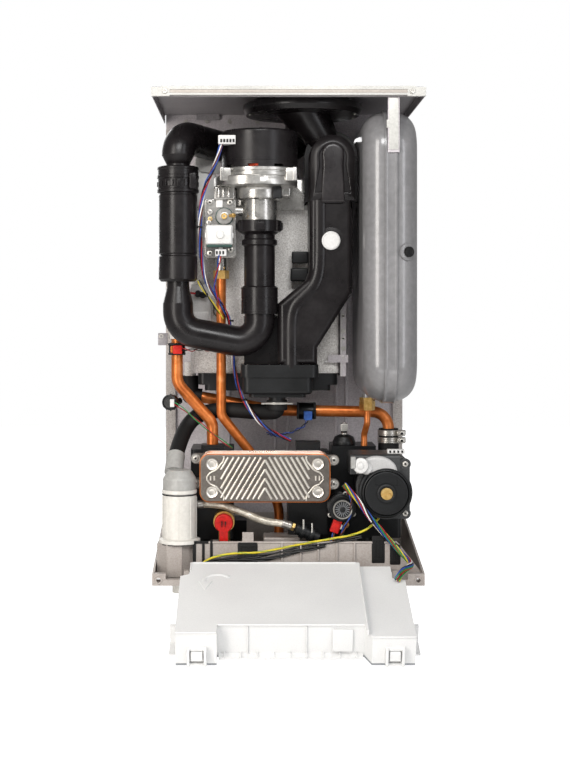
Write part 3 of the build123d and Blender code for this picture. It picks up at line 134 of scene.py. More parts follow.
world = bpy.data.worlds.new("studio")
world.use_nodes = True
bpy.context.scene.world = world
tree = world.node_tree
tree.nodes.clear()
seen = add(tree, "ShaderNodeBackground", {"Color": (1, 1, 1, 1), "Strength": 1.0})
fill = add(tree, "ShaderNodeBackground", {"Color": rgb("#f3f2f1"), "Strength": 0.34})
path = add(tree, "ShaderNodeLightPath")
mix = add(
    tree, "ShaderNodeMixShader",
    feeds={0: path.outputs["Is Camera Ray"], 1: fill.outputs[0], 2: seen.outputs[0]},
)
add(tree, "ShaderNodeOutputWorld", feeds={"Surface": mix.outputs[0]})
bpy.context.scene.view_settings.view_transform = "Standard"

FLOOR_Z, REACH = -0.95, 14.0
floor_mesh = bpy.data.meshes.new("floor")
floor_mesh.from_pydata(
    [(-REACH, -REACH, FLOOR_Z), (REACH, -REACH, FLOOR_Z), (REACH, REACH, FLOOR_Z), (-REACH, REACH, FLOOR_Z)],
    [], [(0, 1, 2, 3)],
)
floor = bpy.data.objects.new("floor", floor_mesh)
bpy.context.scene.collection.objects.link(floor)
floor_paint = bpy.data.materials.new("white_studio_floor")
floor_paint.use_nodes = True
tree = floor_paint.node_tree
shader = tree.nodes["Principled BSDF"]
shader.inputs["Base Color"].default_value = rgb("#fbfbfb")
shader.inputs["Roughness"].default_value = 0.9
shader.inputs["Emission Color"].default_value = (1, 1, 1, 1)
path = add(tree, "ShaderNodeLightPath")
glow = add(
    tree, "ShaderNodeMapRange", {"To Min": 0.1, "To Max": 1.0}, {"Value": path.outputs["Is Camera Ray"]}
)
tree.links.new(glow.outputs["Result"], shader.inputs["Emission Strength"])
floor_mesh.materials.append(floor_paint)

# %% [markdown]
# ## Finishes
#
# Nearly every finish here has the same three things in its surface: a fine grain, a broad
# drift from handling and dust, and a small relief. One function builds those from real
# sizes, and each finish then states its own colours, sizes and gloss. Metals keep the default
# IOR, because their colour already holds their reflection.

# %% One way to build a mottled surface
RAMP_LOW, RAMP_HIGH = 0.34, 0.66  # the noise spends most of its area between these
GLOSS_SWING = 0.06  # how far the roughness drifts either way


def finish(name, shades, metallic, roughness, grain_mm, relief_mm=0.0, ior=None, wear_mm=70.0, contrast=0.5,
           coat=0.0):
    """A surface whose colour runs through shades with its grain, and dulls and dirties over wear_mm."""
    material = bpy.data.materials.new(name)
    material.use_nodes = True
    tree = material.node_tree
    shader = tree.nodes["Principled BSDF"]
    place = add(tree, "ShaderNodeTexCoord")
    grain = add(
        tree, "ShaderNodeTexNoise", {"Scale": 1 / (grain_mm * MM), "Detail": 3.0, "Roughness": 0.6},
        {"Vector": place.outputs["Object"]},
    )
    wear = add(
        tree, "ShaderNodeTexNoise", {"Scale": 1 / (wear_mm * MM), "Detail": 4.0, "Roughness": 0.55},
        {"Vector": place.outputs["Object"]},
    )
    both = add(
        tree, "ShaderNodeMix", {"data_type": "FLOAT", "Factor": contrast},
        {2: wear.outputs["Fac"], 3: grain.outputs["Fac"]},
    )
    ramp = add(tree, "ShaderNodeValToRGB", feeds={"Fac": both.outputs[0]})
    stops = ramp.color_ramp.elements
    stops[0].position, stops[1].position = RAMP_LOW, RAMP_HIGH
    stops[0].color, stops[1].color = rgb(shades[0]), rgb(shades[-1])
    for index, shade in enumerate(shades[1:-1]):
        share = (index + 1) / (len(shades) - 1)
        stops.new(RAMP_LOW + (RAMP_HIGH - RAMP_LOW) * share).color = rgb(shade)
    gloss = add(
        tree, "ShaderNodeMapRange",
        {
            "From Min": 0.35, "From Max": 0.65, "To Min": max(roughness - GLOSS_SWING, 0.02),
            "To Max": roughness + GLOSS_SWING,
        },
        {"Value": wear.outputs["Fac"]},
    )
    tree.links.new(ramp.outputs["Color"], shader.inputs["Base Color"])
    tree.links.new(gloss.outputs["Result"], shader.inputs["Roughness"])
    if relief_mm:
        bump = add(
            tree, "ShaderNodeBump", {"Distance": relief_mm * MM, "Strength": 0.6},
            {"Height": grain.outputs["Fac"]},
        )
        tree.links.new(bump.outputs["Normal"], shader.inputs["Normal"])
    shader.inputs["Metallic"].default_value = metallic
    if ior:
        shader.inputs["IOR"].default_value = ior
    if coat:
        shader.inputs["Coat Weight"].default_value = coat
        shader.inputs["Coat Roughness"].default_value = 0.08
    return material


# %% [markdown]
# ### Sheet metal
#
# The frame is galvanised steel under a thin lacquer. Zinc crystals make a low-contrast
# mottle about 2 mm across with a mauve cast. The exchanger's cast casing is coarser and
# sparkles, because its coating takes the sand's texture.

# %% Sheet and cast metals
galvanised = finish(  # lacquered zinc: calm satin with a faint mauve mottle
    "galvanised_sheet_steel", ["#a39da0", "#b5afb2", "#c4bfc0"], 0.15, 0.46, 2.2, 0.05, contrast=0.7
)
galvanised_base = finish(  # the folded base is warmer and duller than the back
    "lacquered_base_steel", ["#938983", "#a29a94", "#afa8a3"], 0.15, 0.48, 2.4, 0.04, contrast=0.5
)
coated_rail = finish(  # white stove enamel with a little silver left in it
    "enamelled_front_rail", ["#a9a8a4", "#b9b8b3", "#c6c5c1"], 0.15, 0.36, 3.0, 0.02
)
zinc_screw = finish(  # zinc plate goes cloudy where fingers touch it
    "zinc_plated_steel", ["#97948e", "#b6b3ad", "#cdcac4"], 0.85, 0.34, 1.6, 0.03
)
cast_casing = finish(  # sand-cast and dipped: a sugar-like grain that never mirrors
    "sand_cast_coated_aluminium", ["#bcb7b2", "#e0dcd7", "#fbf9f6"], 0.0, 0.5, 1.5, 0.25, ior=1.5,
    contrast=0.9,
)
die_cast = finish(  # die-cast aluminium straight from the mould: bright with soft flow marks
    "die_cast_aluminium", ["#8d8b88", "#acaaa6", "#c6c4c0"], 0.9, 0.27, 5.0, 0.08, contrast=0.4
)
stainless = finish(  # bright annealed sheet, pressed
    "pressed_stainless_steel", ["#c4beb4", "#ddd7ce", "#ece7df"], 1.0, 0.3, 4.0, 0.03, contrast=0.35
)
pump_paint = finish(  # cataphoretic paint over cast iron
    "painted_pump_casting", ["#262627", "#313233", "#3f4041"], 0.1, 0.42, 3.0, 0.12
)
print("metals made:", galvanised.name, cast_casing.name, die_cast.name)

# %% [markdown]
# ### Tube metals
#
# Drawn copper is bright orange where it is clean, and browner and duller where it has been
# brazed or handled, so its broad drift matters more than its grain. Brass is turned, and paler.

# %% Copper and brass
copper = finish("drawn_copper_tube", ["#a95722", "#c46d30", "#dd8f56"], 0.6, 0.38, 14.0, wear_mm=40.0)
brass = finish("turned_brass", ["#b98e49", "#d9b26c", "#ebcf90"], 0.9, 0.34, 5.0, 0.02)

# %% [markdown]
# ### Plastics and rubber
#
# The flue and air ducts are blow-moulded polypropylene: deep black with a satin sheen and
# dust in its broad drift. The hydraulic blocks are glass-filled nylon, greyer and rougher.
# Rubber is the same black with hardly any gloss.

# %% Moulded plastics and rubber
duct_black = finish(
    "blow_moulded_polypropylene", ["#0e0c0d", "#151213", "#1c191a"], 0.0, 0.3, 6.0, 0.08, ior=1.36,
    wear_mm=55.0,
)
nylon_black = finish("glass_filled_nylon", ["#0a0b0b", "#111213", "#18191b"], 0.0, 0.4, 1.8, 0.05, ior=1.36)
rubber = finish("moulded_rubber", ["#0b0b0b", "#111111", "#181717"], 0.0, 0.6, 3.0, 0.08, ior=1.34)
white_abs = finish(  # injection-moulded ABS: clean white with a spark-eroded satin skin
    "injection_moulded_abs", ["#d3d3d3", "#d9d9d8", "#dfdfde"], 0.0, 0.42, 1.6, 0.03, ior=1.54, wear_mm=120.0
)
panel_abs = finish("textured_grey_abs", ["#84878a", "#8f9295", "#9a9da0"], 0.0, 0.5, 1.6, 0.06, ior=1.54)
siphon_pp = finish("cream_polypropylene", ["#c4c1ba", "#cfccc5", "#d9d6cf"], 0.0, 0.4, 5.0, 0.03, ior=1.49)
valve_pbt = finish("white_moulded_pbt", ["#bfbebc", "#cac9c7", "#d4d3d1"], 0.0, 0.42, 2.5, 0.02, ior=1.55)
red_nylon = finish("red_moulded_nylon", ["#960d09", "#b8150f", "#cc2418"], 0.0, 0.42, 4.0, 0.03, ior=1.36)
blue_nylon = finish("blue_moulded_nylon", ["#1c4a9a", "#2c62b8", "#3c76c8"], 0.0, 0.42, 4.0, 0.03, ior=1.53)
grey_polymer = finish(
    "grey_moulded_polymer", ["#67696b", "#787a7c", "#888a8c"], 0.0, 0.48, 2.5, 0.05, ior=1.5,
)
board_green = finish(
    "etched_circuit_board", ["#0f3d22", "#17552f", "#236b3d"], 0.0, 0.35, 3.0, 0.05, ior=1.55,
)
vessel_enamel = finish(  # stove enamel over pressed steel: glossy, with faint orange peel
    "stove_enamelled_steel", ["#6c6b6c", "#767576", "#818081"], 0.0, 0.34, 9.0, 0.02, ior=1.6, wear_mm=160.0,
    coat=0.5
)

light_sheet = finish("bare_galvanised_bracket", ["#b4b2af", "#c4c2bf", "#d2d0cd"], 0.2, 0.4, 2.0, 0.03)
plated_cover = finish("white_zinc_plated_cover", ["#cdccc9", "#dad9d6", "#e4e3e1"], 0.15, 0.34, 3.0, 0.02)
pump_cover = finish(
    "light_grey_moulded_cover", ["#a09f9e", "#adacab", "#b9b8b7"], 0.0, 0.42, 2.0, 0.03, ior=1.54,
)
gasket_green = finish("green_gasket", ["#12302a", "#1b423a", "#25544a"], 0.0, 0.55, 2.0, 0.03, ior=1.5)
winding_red = finish("lacquered_copper_winding", ["#b0331c", "#dd5130", "#f07e58"], 0.4, 0.32, 2.5, 0.02)
braid_wire = finish("stainless_braid_wire", ["#bab3a6", "#d3cdc1", "#e6e1d6"], 0.8, 0.36, 3.0, 0.01)
# a lighter black for the duct's raised middle panel: a painted highlight for the sheen that lamps draw on it
duct_painted_highlight = finish(
    "polypropylene_painted_highlight", ["#191617", "#221f20", "#2b2728"], 0.0, 0.3, 6.0, 0.05, ior=1.4,
)
# stainless made darker for the pressed plate face: painted shade and painted dark reflection between the
# bright ribs
plate_painted_shade = finish("plate_face_painted_shade", ["#5f5a55", "#6e6862", "#7e7871"], 0.7, 0.4, 4.0, 0.02)
strip_paint = finish(
    "lacquered_strip_steel", ["#8f8884", "#a8a29e", "#bbb6b2"], 0.2, 0.5, 1.8, 0.05, contrast=0.8,
)
# a darker band for the front rail's rolled groove: painted shadow of the groove
groove_painted_shadow = finish("rolled_groove_shadow", ["#9c948c", "#aba39b", "#b8b1aa"], 0.1, 0.5, 3.0, 0.02)


def insulation(name, deep, pale):
    """PVC on thin wire: a little gloss, slightly uneven colour."""
    return finish(name, [deep, pale], 0.0, 0.42, 6.0, 0.01, ior=1.4, wear_mm=24.0)


wire_red = insulation("red_pvc_insulation", "#7d1016", "#ad2326")
wire_blue = insulation("blue_pvc_insulation", "#17357f", "#2c53ab")
wire_black = insulation("black_pvc_insulation", "#080809", "#121213")
wire_brown = insulation("brown_pvc_insulation", "#4a2415", "#6d3a24")
wire_green = insulation("green_pvc_insulation", "#12642f", "#2b8c48")
wire_yellow = insulation("yellow_pvc_insulation", "#b9a51c", "#dccb3a")
wire_white = insulation("white_pvc_insulation", "#cfcfca", "#e9e9e6")

# %% [markdown]
# The siphon's cap lets light through. A little transmission under a satin skin gives the
# milky look of natural polypropylene without turning it to clear glass.

# %% Milky plastic
milky_pp = finish("natural_polypropylene", ["#aeada9", "#bbbab6", "#c9c8c4"], 0.0, 0.34, 5.0, 0.03, ior=1.49)
shader = milky_pp.node_tree.nodes["Principled BSDF"]
shader.inputs["Transmission Weight"].default_value = 0.35
shader.inputs["Subsurface Weight"].default_value = 0.2
shader.inputs["Subsurface Radius"].default_value = (0.004, 0.004, 0.004)

# %% Give each node its finish
finish_of = {
    galvanised: ["back_plate", "vessel_brackets"],
    galvanised_base: ["base_tray"],
    coated_rail: ["top_front_rail"],
    zinc_screw: ["frame_screws", "hose_clamps"],
    cast_casing: ["exchanger_casing"],
    die_cast: ["burner_hood", "fan_housing", "gas_valve", "venturi"],
    # the plate exchanger's face carries painted shade between its ribs
    plate_painted_shade: ["plate_exchanger"],
    stainless: ["burner", "exchanger_coil", "diverter_spindle", "filling_hose"],
    pump_paint: ["pump_housing"],
    copper: ["gas_pipe", "flow_pipe", "return_pipe", "vessel_pipe"],
    brass: ["brass_nuts", "pump_bleed_screw", "safety_valve"],
    duct_black: [
        "air_downpipe", "lower_air_elbow", "silencer", "upper_air_elbow", "flue_duct", "flue_adapter",
        "fan_cover",
    ],
    nylon_black: [
        "left_manifold", "right_manifold", "condensate_sump", "air_vent", "diverter_motor", "filling_valve",
        "ignition_unit", "pump_motor",
    ],
    rubber: ["rubber_seals", "condensate_hose", "vessel_membrane", "wiring_loom"],
    white_abs: ["control_box"],
    panel_abs: ["control_panel"],
    siphon_pp: ["siphon_cup"],
    milky_pp: ["siphon_cap"],
    valve_pbt: ["flue_test_plug", "gas_solenoid"],
    red_nylon: ["safety_knob", "water_sensors"],
    grey_polymer: ["fan_rotor", "pump_rotor", "heating_knob", "hot_water_knob", "reset_button"],
    board_green: ["display_board"],
    vessel_enamel: ["vessel_left_shell", "vessel_right_shell"],
}
panel_dark = finish(
    "lacquered_top_sheet", ["#7b7779", "#888486", "#959193"], 0.25, 0.46, 2.4, 0.04, contrast=0.6,
)
finish_of[panel_dark] = ["top_panel"]


def dress(piece, material):
    """Puts one finish on every material slot of a piece."""
    if not piece.data.materials:
        piece.data.materials.append(material)
    for slot in piece.material_slots:
        slot.material = material


dressed = set()
for material, names in finish_of.items():
    for name in names:
        dress(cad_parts[name], material)
        dressed.add(name)
print("nodes with no finish:", sorted(set(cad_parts) - dressed))

# %% [markdown]
# ## Fine pieces
#
# The fine pieces are made from four plain shapes: bars with soft edges, turned bodies, tubes
# along a line, and raised pads. Each shape knows its finish, and one object gathers the
# shapes that belong together.

# %% Lines that real leads follow
def smooth_line(points_mm):
    """The points of one smooth line that a few control points lead."""
    data = bpy.data.curves.new("route", "CURVE")
    data.dimensions = "3D"
    spline = data.splines.new("NURBS")
    spline.points.add(len(points_mm) - 1)
    for point, place in zip(spline.points, points_mm):
        point.co = (*[value * MM for value in place], 1)
    spline.order_u = 3
    spline.use_endpoint_u = True
    data.resolution_u = 10
    holder = bpy.data.objects.new("route", data)
    line = bpy.data.meshes.new_from_object(holder)
    points = [vertex.co.copy() for vertex in line.vertices]
    bpy.data.objects.remove(holder)
    bpy.data.curves.remove(data)
    return points


def side_directions(points):
    """Two directions across the line at each of its points, carried along without twist."""
    across = None
    pairs = []
    for index, point in enumerate(points):
        before, after = points[max(index - 1, 0)], points[min(index + 1, len(points) - 1)]
        ahead = (after - before).normalized()
        if across is None:
            across = ahead.orthogonal().normalized()
        across = (across - ahead * across.dot(ahead)).normalized()
        pairs.append((across, ahead.cross(across)))
    return pairs


def distances(points):
    """How far each point lies along the line."""
    travelled = [0.0]
    for before, after in zip(points, points[1:]):
        travelled.append(travelled[-1] + (after - before).length)
    return travelled


# %% Faces between rows of points
def skin(shape, rows, closed=False):
    """Faces between rows of points, capped at both ends unless the rows run in a ring."""
    for lower, upper in list(zip(rows, rows[1:])) + ([(rows[-1], rows[0])] if closed else []):
        for step in range(len(lower)):
            after = (step + 1) % len(lower)
            shape.faces.new((lower[step], lower[after], upper[after], upper[step]))
    if not closed:
        shape.faces.new(rows[0])
        shape.faces.new(rows[-1])


# %% The shapes
UP, DOWN, FRONT = (0, 0, 1), (0, 0, -1), (0, -1, 0)
SHARP_DEGREES = 38  # edges that turn more than this stay crisp


class Piece:
    """Gathers closed shapes of several finishes in one mesh."""

    def __init__(self, name):
        self.name, self.form, self.finishes = name, bmesh.new(), []

    def keep(self, shape, material, place=None):
        """Adds one finished shape."""
        if material not in self.finishes:
            self.finishes.append(material)
        bmesh.ops.recalc_face_normals(shape, faces=shape.faces)
        for face in shape.faces:
            face.material_index = self.finishes.index(material)
        if place:
            shape.transform(place)
        made = bpy.data.meshes.new("shape")
        shape.to_mesh(made)
        shape.free()
        self.form.from_mesh(made)
        bpy.data.meshes.remove(made)

    def bar(self, low, high, material, soft=0.6, place=None):
        """A box in millimetres with soft edges."""
        shape = bmesh.new()
        bmesh.ops.create_cube(shape, size=1)
        size = [(b - a) * MM for a, b in zip(low, high)]
        middle = [(a + b) / 2 * MM for a, b in zip(low, high)]
        shape.transform(Matrix.Translation(middle) @ Matrix.Diagonal((*size, 1)))
        width = min(soft * MM, 0.45 * min(size))
        bmesh.ops.bevel(shape, geom=shape.edges[:], offset=width, segments=3, profile=0.6, affect="EDGES")
        self.keep(shape, material, place)

    def turned(self, outline, start, along, material, sides=40, closed=False):
        """A body turned from (radius, distance) pairs about a line that begins at start."""
        shape = bmesh.new()
        rows = [
            [
                shape.verts.new((
                    radius * MM * math.cos(math.tau * step / sides),
                    radius * MM * math.sin(math.tau * step / sides),
                    distance * MM,
                ))
                for step in range(sides)
            ]
            for radius, distance in outline
        ]
        skin(shape, rows, closed)
        aim = Vector(along).to_track_quat("Z", "Y").to_matrix().to_4x4()
        shape.transform(Matrix.Translation(Vector(start) * MM) @ aim)
        self.keep(shape, material)

    def ring(self, outline, start, along, material, sides=40):
        """A turned body whose outline closes on itself, so that its middle stays open."""
        self.turned(outline, start, along, material, sides, closed=True)

    def tube(self, points, radius_mm, material, sides=10, place=None):
        """A round tube along points in metres, closed at both ends."""
        shape = bmesh.new()
        rows = []
        for point, (across, other) in zip(points, side_directions(points)):
            rows.append([
                shape.verts.new(point + radius_mm * MM * (
                    across * math.cos(math.tau * step / sides) + other * math.sin(math.tau * step / sides)
                ))
                for step in range(sides)
            ])
        skin(shape, rows)
        self.keep(shape, material, place)

    def pad(self, outline, steps, material, place):
        """A raised pad from a flat outline in mm, drawn in towards its middle at each (inset, height)."""
        shape = bmesh.new()
        centre = Vector((sum(x for x, _ in outline), sum(y for _, y in outline), 0)) / len(outline)
        rows = []
        for inset, height in steps:
            row = []
            for x, y in outline:
                outward = Vector((x, y, 0)) - centre
                drawn = centre + outward * (1 - inset / outward.length)
                row.append(shape.verts.new((drawn.x * MM, drawn.y * MM, height * MM)))
            rows.append(row)
        skin(shape, rows)
        self.keep(shape, material, place)

    def place(self, slot, body="root", replaces=()):
        """Makes the object and rides it on its body; slot is not used."""
        mesh = bpy.data.meshes.new(self.name)
        self.form.to_mesh(mesh)
        self.form.free()
        for material in self.finishes:
            mesh.materials.append(material)
        for polygon in mesh.polygons:
            polygon.use_smooth = True
        mesh.set_sharp_from_angle(angle=math.radians(SHARP_DEGREES))
        piece = bpy.data.objects.new(self.name, mesh)
        bpy.context.scene.collection.objects.link(piece)
        if body:
            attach(piece, body)
        if replaces:
            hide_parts(*replaces)
        return piece


# %% Places, circles and screws
def moved(x, y, z, degrees=0.0, axis="Z"):
    """A place in mm, with a turn about one axis through it."""
    return Matrix.Translation(Vector((x, y, z)) * MM) @ Matrix.Rotation(math.radians(degrees), 4, axis)


def facing_front(x, y, z):
    """A flat drawing in X and Z, laid on a plane that faces the viewer."""
    return moved(x, y, z, 90, "X")


def on_circle(centre, radius, degrees):
    """The two coordinates of a point on a circle."""
    turn = math.radians(degrees)
    return centre[0] + radius * math.cos(turn), centre[1] + radius * math.sin(turn)


def screw(piece, x, y, z, radius=3.6, head=2.4, along=FRONT, material=None):
    """A pan-head screw whose domed head has a sunk socket."""
    piece.turned(
        [
            (radius, 0), (radius, head * 0.5), (radius * 0.86, head * 0.86), (radius * 0.55, head),
            (radius * 0.5, head), (radius * 0.46, head * 0.45), (0.1, head * 0.4),
        ], (x, y, z), along, material or zinc_screw, 24,
    )
    piece.turned(
        [(radius * 0.48, head * 0.3), (radius * 0.48, head * 0.62), (0.1, head * 0.62)], (x, y, z), along,
        rubber, 16,
    )


# %% [markdown]
# ### Fan, venturi and gas valve
#
# The fan's housing is one casting: two turned rings, two lugs and a spout that bends down to
# the burner. Its light comes from sharp turned edges, so each edge gets a small round. Red
# lacquered windings show through the cover's middle notch.

# %% Fan
FAN = (-42.0, -203.0)
housing = Piece("fan_casting")
housing.ring(
    [
        (22, 574.2), (35, 574.2), (36.4, 575.2), (36.4, 586), (37.4, 588.6), (40, 590.4), (56, 591.2),
        (58, 592.6), (58.2, 594), (58.2, 601.8), (57.4, 603), (57.4, 605), (59.6, 606), (60, 607), (60, 611),
        (58.6, 611.8), (58.6, 613), (60, 613.8), (60, 618), (59, 619), (50, 619), (49, 613), (49, 594),
        (22, 594),
    ], (*FAN, 0), UP, die_cast, 96,
)
housing.ring(
    [(30, 591.4), (59.4, 591.4), (61, 592.8), (61, 605), (59.6, 606.6), (30, 606.6)], (-51, -201, 0), UP,
    die_cast, 96,
)
for low_x, high_x in ((-101.5, -84.5), (-3.5, 13.5)):
    housing.bar((low_x, -248, 598), (high_x, -232, 618.4), die_cast, 2.2)
    housing.bar(
        (high_x - 6, -249.4, 598.4), (high_x, -240, 618.6) if low_x > -50 else (high_x - 5.8, -248, 618.4),
        die_cast, 1.0,
    )
housing.bar((-101.5, -249.4, 598.4), (-96, -240, 618.6), die_cast, 1.0)
housing.bar((-21.6, -203, 578.4), (5.6, -146, 594), die_cast, 3.0)
housing.bar((-111, -222, 572), (-80, -200, 591.6), die_cast, 2.0)
for x in (-104, -97, -89):
    housing.turned([(2.4, 0), (2.4, 14), (1.8, 15)], (x, -223.4, 575), UP, die_cast, 20)
housing.place("cast_aluminium", replaces=["fan_housing"])

fan = Piece("fan_fittings")
fan.bar((-104, -252, 652.5), (-78, -234, 666), valve_pbt, 1.0)
for step in range(5):
    x = -101.0 + 4.6 * step
    fan.bar((x, -252.6, 655), (x + 3, -250, 660), rubber, 0.3)
for strand in range(5):
    ring = [
        Vector((
            FAN[0] + (50.5 + 1.8 * math.sin(9 * turn + strand)) * math.cos(turn),
            FAN[1] + (50.5 + 1.8 * math.sin(9 * turn + strand)) * math.sin(turn),
            623 + 2.6 * math.sin(18 * turn + 1.3 * strand),
        )) * MM
        for turn in [math.radians(238 + 44 * step / 60) for step in range(61)]
    ]
    fan.tube(ring, 1.1, winding_red, 8)
fan.turned([(54, 671.6), (58.3, 672), (58.3, 673.4), (56.4, 676), (54, 676.3)], (*FAN, 0), UP, duct_black, 96)
fan.ring([(56.5, 628), (58.6, 628.6), (58.6, 630.4), (56.5, 631)], (*FAN, 0), UP, duct_black, 96)
fan.bar((-22, -238, 573), (-9, -222, 590), nylon_black, 1.2)
fan.place("duct_black")
print("fan dressed")

# %% Gas valve
VALVE_NUT = (-95.5, -215, 546.5)
valve = Piece("gas_valve_fittings")
valve.turned(
    [(12.4, 0), (12.4, 4), (11.6, 5), (10, 5.2), (9.6, 6.6), (8, 7.6), (5, 8.2), (4.8, 8.2)], VALVE_NUT,
    FRONT, die_cast, 48,
)
valve.turned(
    [(4.6, 8), (4.6, 11.4), (4.0, 12), (1.6, 12), (1.4, 10.8), (0.1, 10.8)], VALVE_NUT, FRONT, brass, 32,
)
valve.turned(
    [(2.6, 0), (2.6, 5), (3.4, 5.4), (3.4, 9), (2.8, 9.6), (0.1, 9.6)], (-87, -222, 547.5), (0.72, -0.7, 0),
    brass, 24,
)
for x, z, radius, metal in (
    (-117.6, 553.5, 4.4, zinc_screw), (-117, 543, 3.6, brass), (-119, 537.6, 4.0, zinc_screw),
):
    screw(valve, x, -215, z, radius, 4.0, material=metal)
valve.ring([(12.2, -0.5), (13.6, -0.5), (13.6, 0.9), (12.2, 0.9)], VALVE_NUT, FRONT, gasket_green, 48)
valve.ring([(8.4, 7.2), (9.3, 6.6), (9.5, 7.0), (8.6, 7.8)], VALVE_NUT, FRONT, rubber, 48)
valve.bar((-108, -218, 560), (-98, -214.5, 573), plated_cover, 1.2)
valve.bar((-121.5, -232.2, 504.5), (-84.5, -227, 531.5), plated_cover, 3.0)
for x in (-124.4, -83.6):
    valve.bar((x, -226, 514), (x + 2, -217, 521), plated_cover, 0.6)
valve.turned(
    [(6.1, -1), (6.1, 2.4), (5.4, 3.4), (4.4, 3.5), (4.2, 3.0), (0.1, 3.0)], (-101.5, -231.5, 518), FRONT,
    plated_cover, 32,
)
valve.bar((-122, -229, 499.8), (-84, -215, 503.6), gasket_green, 0.8)
valve.bar((-109, -231.5, 486), (-92, -222, 496), valve_pbt, 0.8)
for x in (-106.5, -101.7, -96.9):
    valve.bar((x - 1.3, -232, 488.4), (x + 1.3, -230.5, 493.6), rubber, 0.3)
for x, z in ((-117.5, 568), (-87, 568), (-117.5, 491), (-86, 496)):
    screw(valve, x, -215, z, 4.3, 3.4)
    valve.ring([(4.4, 0), (6.0, 0), (6.0, 0.9), (4.4, 0.9)], (x, -214.9, z), FRONT, die_cast, 28)
valve.turned([(10.2, 0), (10.2, 3), (9.4, 4), (9.4, 7)], (-101.5, -165, 468), UP, brass, 6)
valve.place("cast_aluminium")

ignition = Piece("ignition_fittings")
ignition.bar((-149, -144.5, 384), (-117, -141, 445), light_sheet, 1.5)
ignition.bar((-145, -146.5, 388), (-121, -144, 402), light_sheet, 1.2)
ignition.turned([(5.5, 0), (5.5, 6), (4.6, 8), (4, 12), (3, 13)], (-138, -144, 430), FRONT, rubber, 28)
ignition.tube(smooth_line([(-138, -154, 430), (-146, -156, 431), (-158, -152, 432)]), 1.6, wire_red, 10)
ignition.tube(
    smooth_line([(-118, -152, 421), (-112, -158, 410), (-114, -160, 398), (-107, -158, 394)]), 1.0,
    wire_black, 8,
)
ignition.place("box_white")
print("gas valve and ignition dressed")

# %% [markdown]
# ### Flue, air and exchanger casing
#
# The duct is blow moulded, so its raised panels have no sharp edge: their sides rise in a
# soft S, and a rounded shoulder below them draws a long highlight. Screws are bright dots on
# the black adapter.

# %% Duct panel, clips and adapter screws
def arch(half_width, foot, top):
    """A round-topped outline, drawn about x = 0."""
    steps = 18
    curve = [
        (half_width * math.cos(math.pi * i / steps), top + half_width * math.sin(math.pi * i / steps))
        for i in range(steps + 1)
    ]
    side = [(-half_width, top - (top - foot) * i / 6) for i in range(1, 7)]
    low = [(-half_width + 2 * half_width * i / 6, foot) for i in range(1, 7)]
    up = [(half_width, foot + (top - foot) * i / 6) for i in range(1, 6)]
    return curve + side + low + up


FLUE = (25, -160)
flue = Piece("flue_fittings")
flue.pad(
    arch(33.8, 0, 66), [(0, -2), (0.3, 0.2), (4.5, 2.6), (9.0, 4.6), (11.5, 5.2), (13.0, 4.8), (14.6, 3.0)],
    duct_black, facing_front(69.2, -215, 571),
)
# the middle panel below takes the lighter black, which is a painted highlight
flue.pad(
    arch(18.2, 0, 77), [(0, -1), (0.8, 1.2), (2.2, 3.6), (3.6, 5.0), (5.4, 5.8), (8, 6.0)], duct_painted_highlight,
    facing_front(69.4, -215, 566),
)
shoulder = [
    (50.4, 572), (50.4, 530), (50.4, 490), (49.4, 464), (43, 442), (28, 426.6), (13, 412), (7.4, 398),
    (6.4, 380), (6.4, 348), (6.4, 316),
]
flue.tube(smooth_line([(x, -201.4, z) for x, z in shoulder]), 16, duct_black, 48)
for low_x, low_z, high_z in ((8.6, 477.6, 496), (6.6, 450, 470)):
    flue.bar((low_x, -157, low_z), (34, -148, high_z), nylon_black, 2.4)
for angle in (15, 70, 190, 345):
    x, y = on_circle(FLUE, 83, angle)
    screw(flue, x, y, 707.2, 2.0, 1.4, DOWN)
flue.ring(
    [(88, 14.4), (92.2, 14.2), (92.4, 15), (92.4, 21.6), (91.4, 23.6), (88, 24.2)], (*FLUE, 700), UP,
    duct_black, 120,
)
flue.turned(
    [(14.2, 0), (14.2, 2.6), (13.2, 3.8), (11.8, 4.2), (11.2, 3.6), (0.1, 3.7)], (66.5, -215.4, 510), FRONT,
    valve_pbt, 56,
)
flue.ring([(15, -0.4), (20.5, -0.4), (20.5, 0.4), (15, 1.0)], (66.5, -215, 510), FRONT, duct_black, 56)
flue.place("duct_black")

air = Piece("air_duct_fittings")
SILENCER = (-166.5, -203.0)
air.ring(
    [
        (30.6, 583), (32, 584), (32, 588), (30.8, 589), (30.8, 604), (32, 605), (32, 609), (30.8, 610),
        (30.8, 618), (31.8, 619), (31.8, 621.5), (30.2, 623), (27, 623), (27, 583),
    ], (*SILENCER, 0), UP, duct_black, 72,
)
for angle in (235, 255, 275, 295, 318):
    x, y = on_circle(SILENCER, 31.6, angle)
    turn = moved(x, y, 597, angle)
    air.bar((-1.2, -2.6, -5.5), (1.4, 2.6, 5.5), duct_black, 0.8, turn)
for level in (452.5, 484.5, 492.5, 577.5):
    air.ring([(28.6, -1.6), (29.6, -0.9), (29.6, 0.9), (28.6, 1.6)], (*SILENCER, level), UP, duct_black, 72)
air.bar((-148, -232.5, 588), (-138, -226, 612), duct_black, 1.5)
for angle in (-90, -15, 200):
    turn = moved(*FAN, 532, angle)
    air.bar((30, -8, -6), (35.5, 8, 6), duct_black, 1.6, turn)
for level in (438, 403, 399.5):
    air.ring([(26.5, -1.2), (28.6, -0.7), (28.6, 0.7), (26.5, 1.2)], (*FAN, level), UP, duct_black, 72)
air.place("duct_black")
print("ducts dressed")

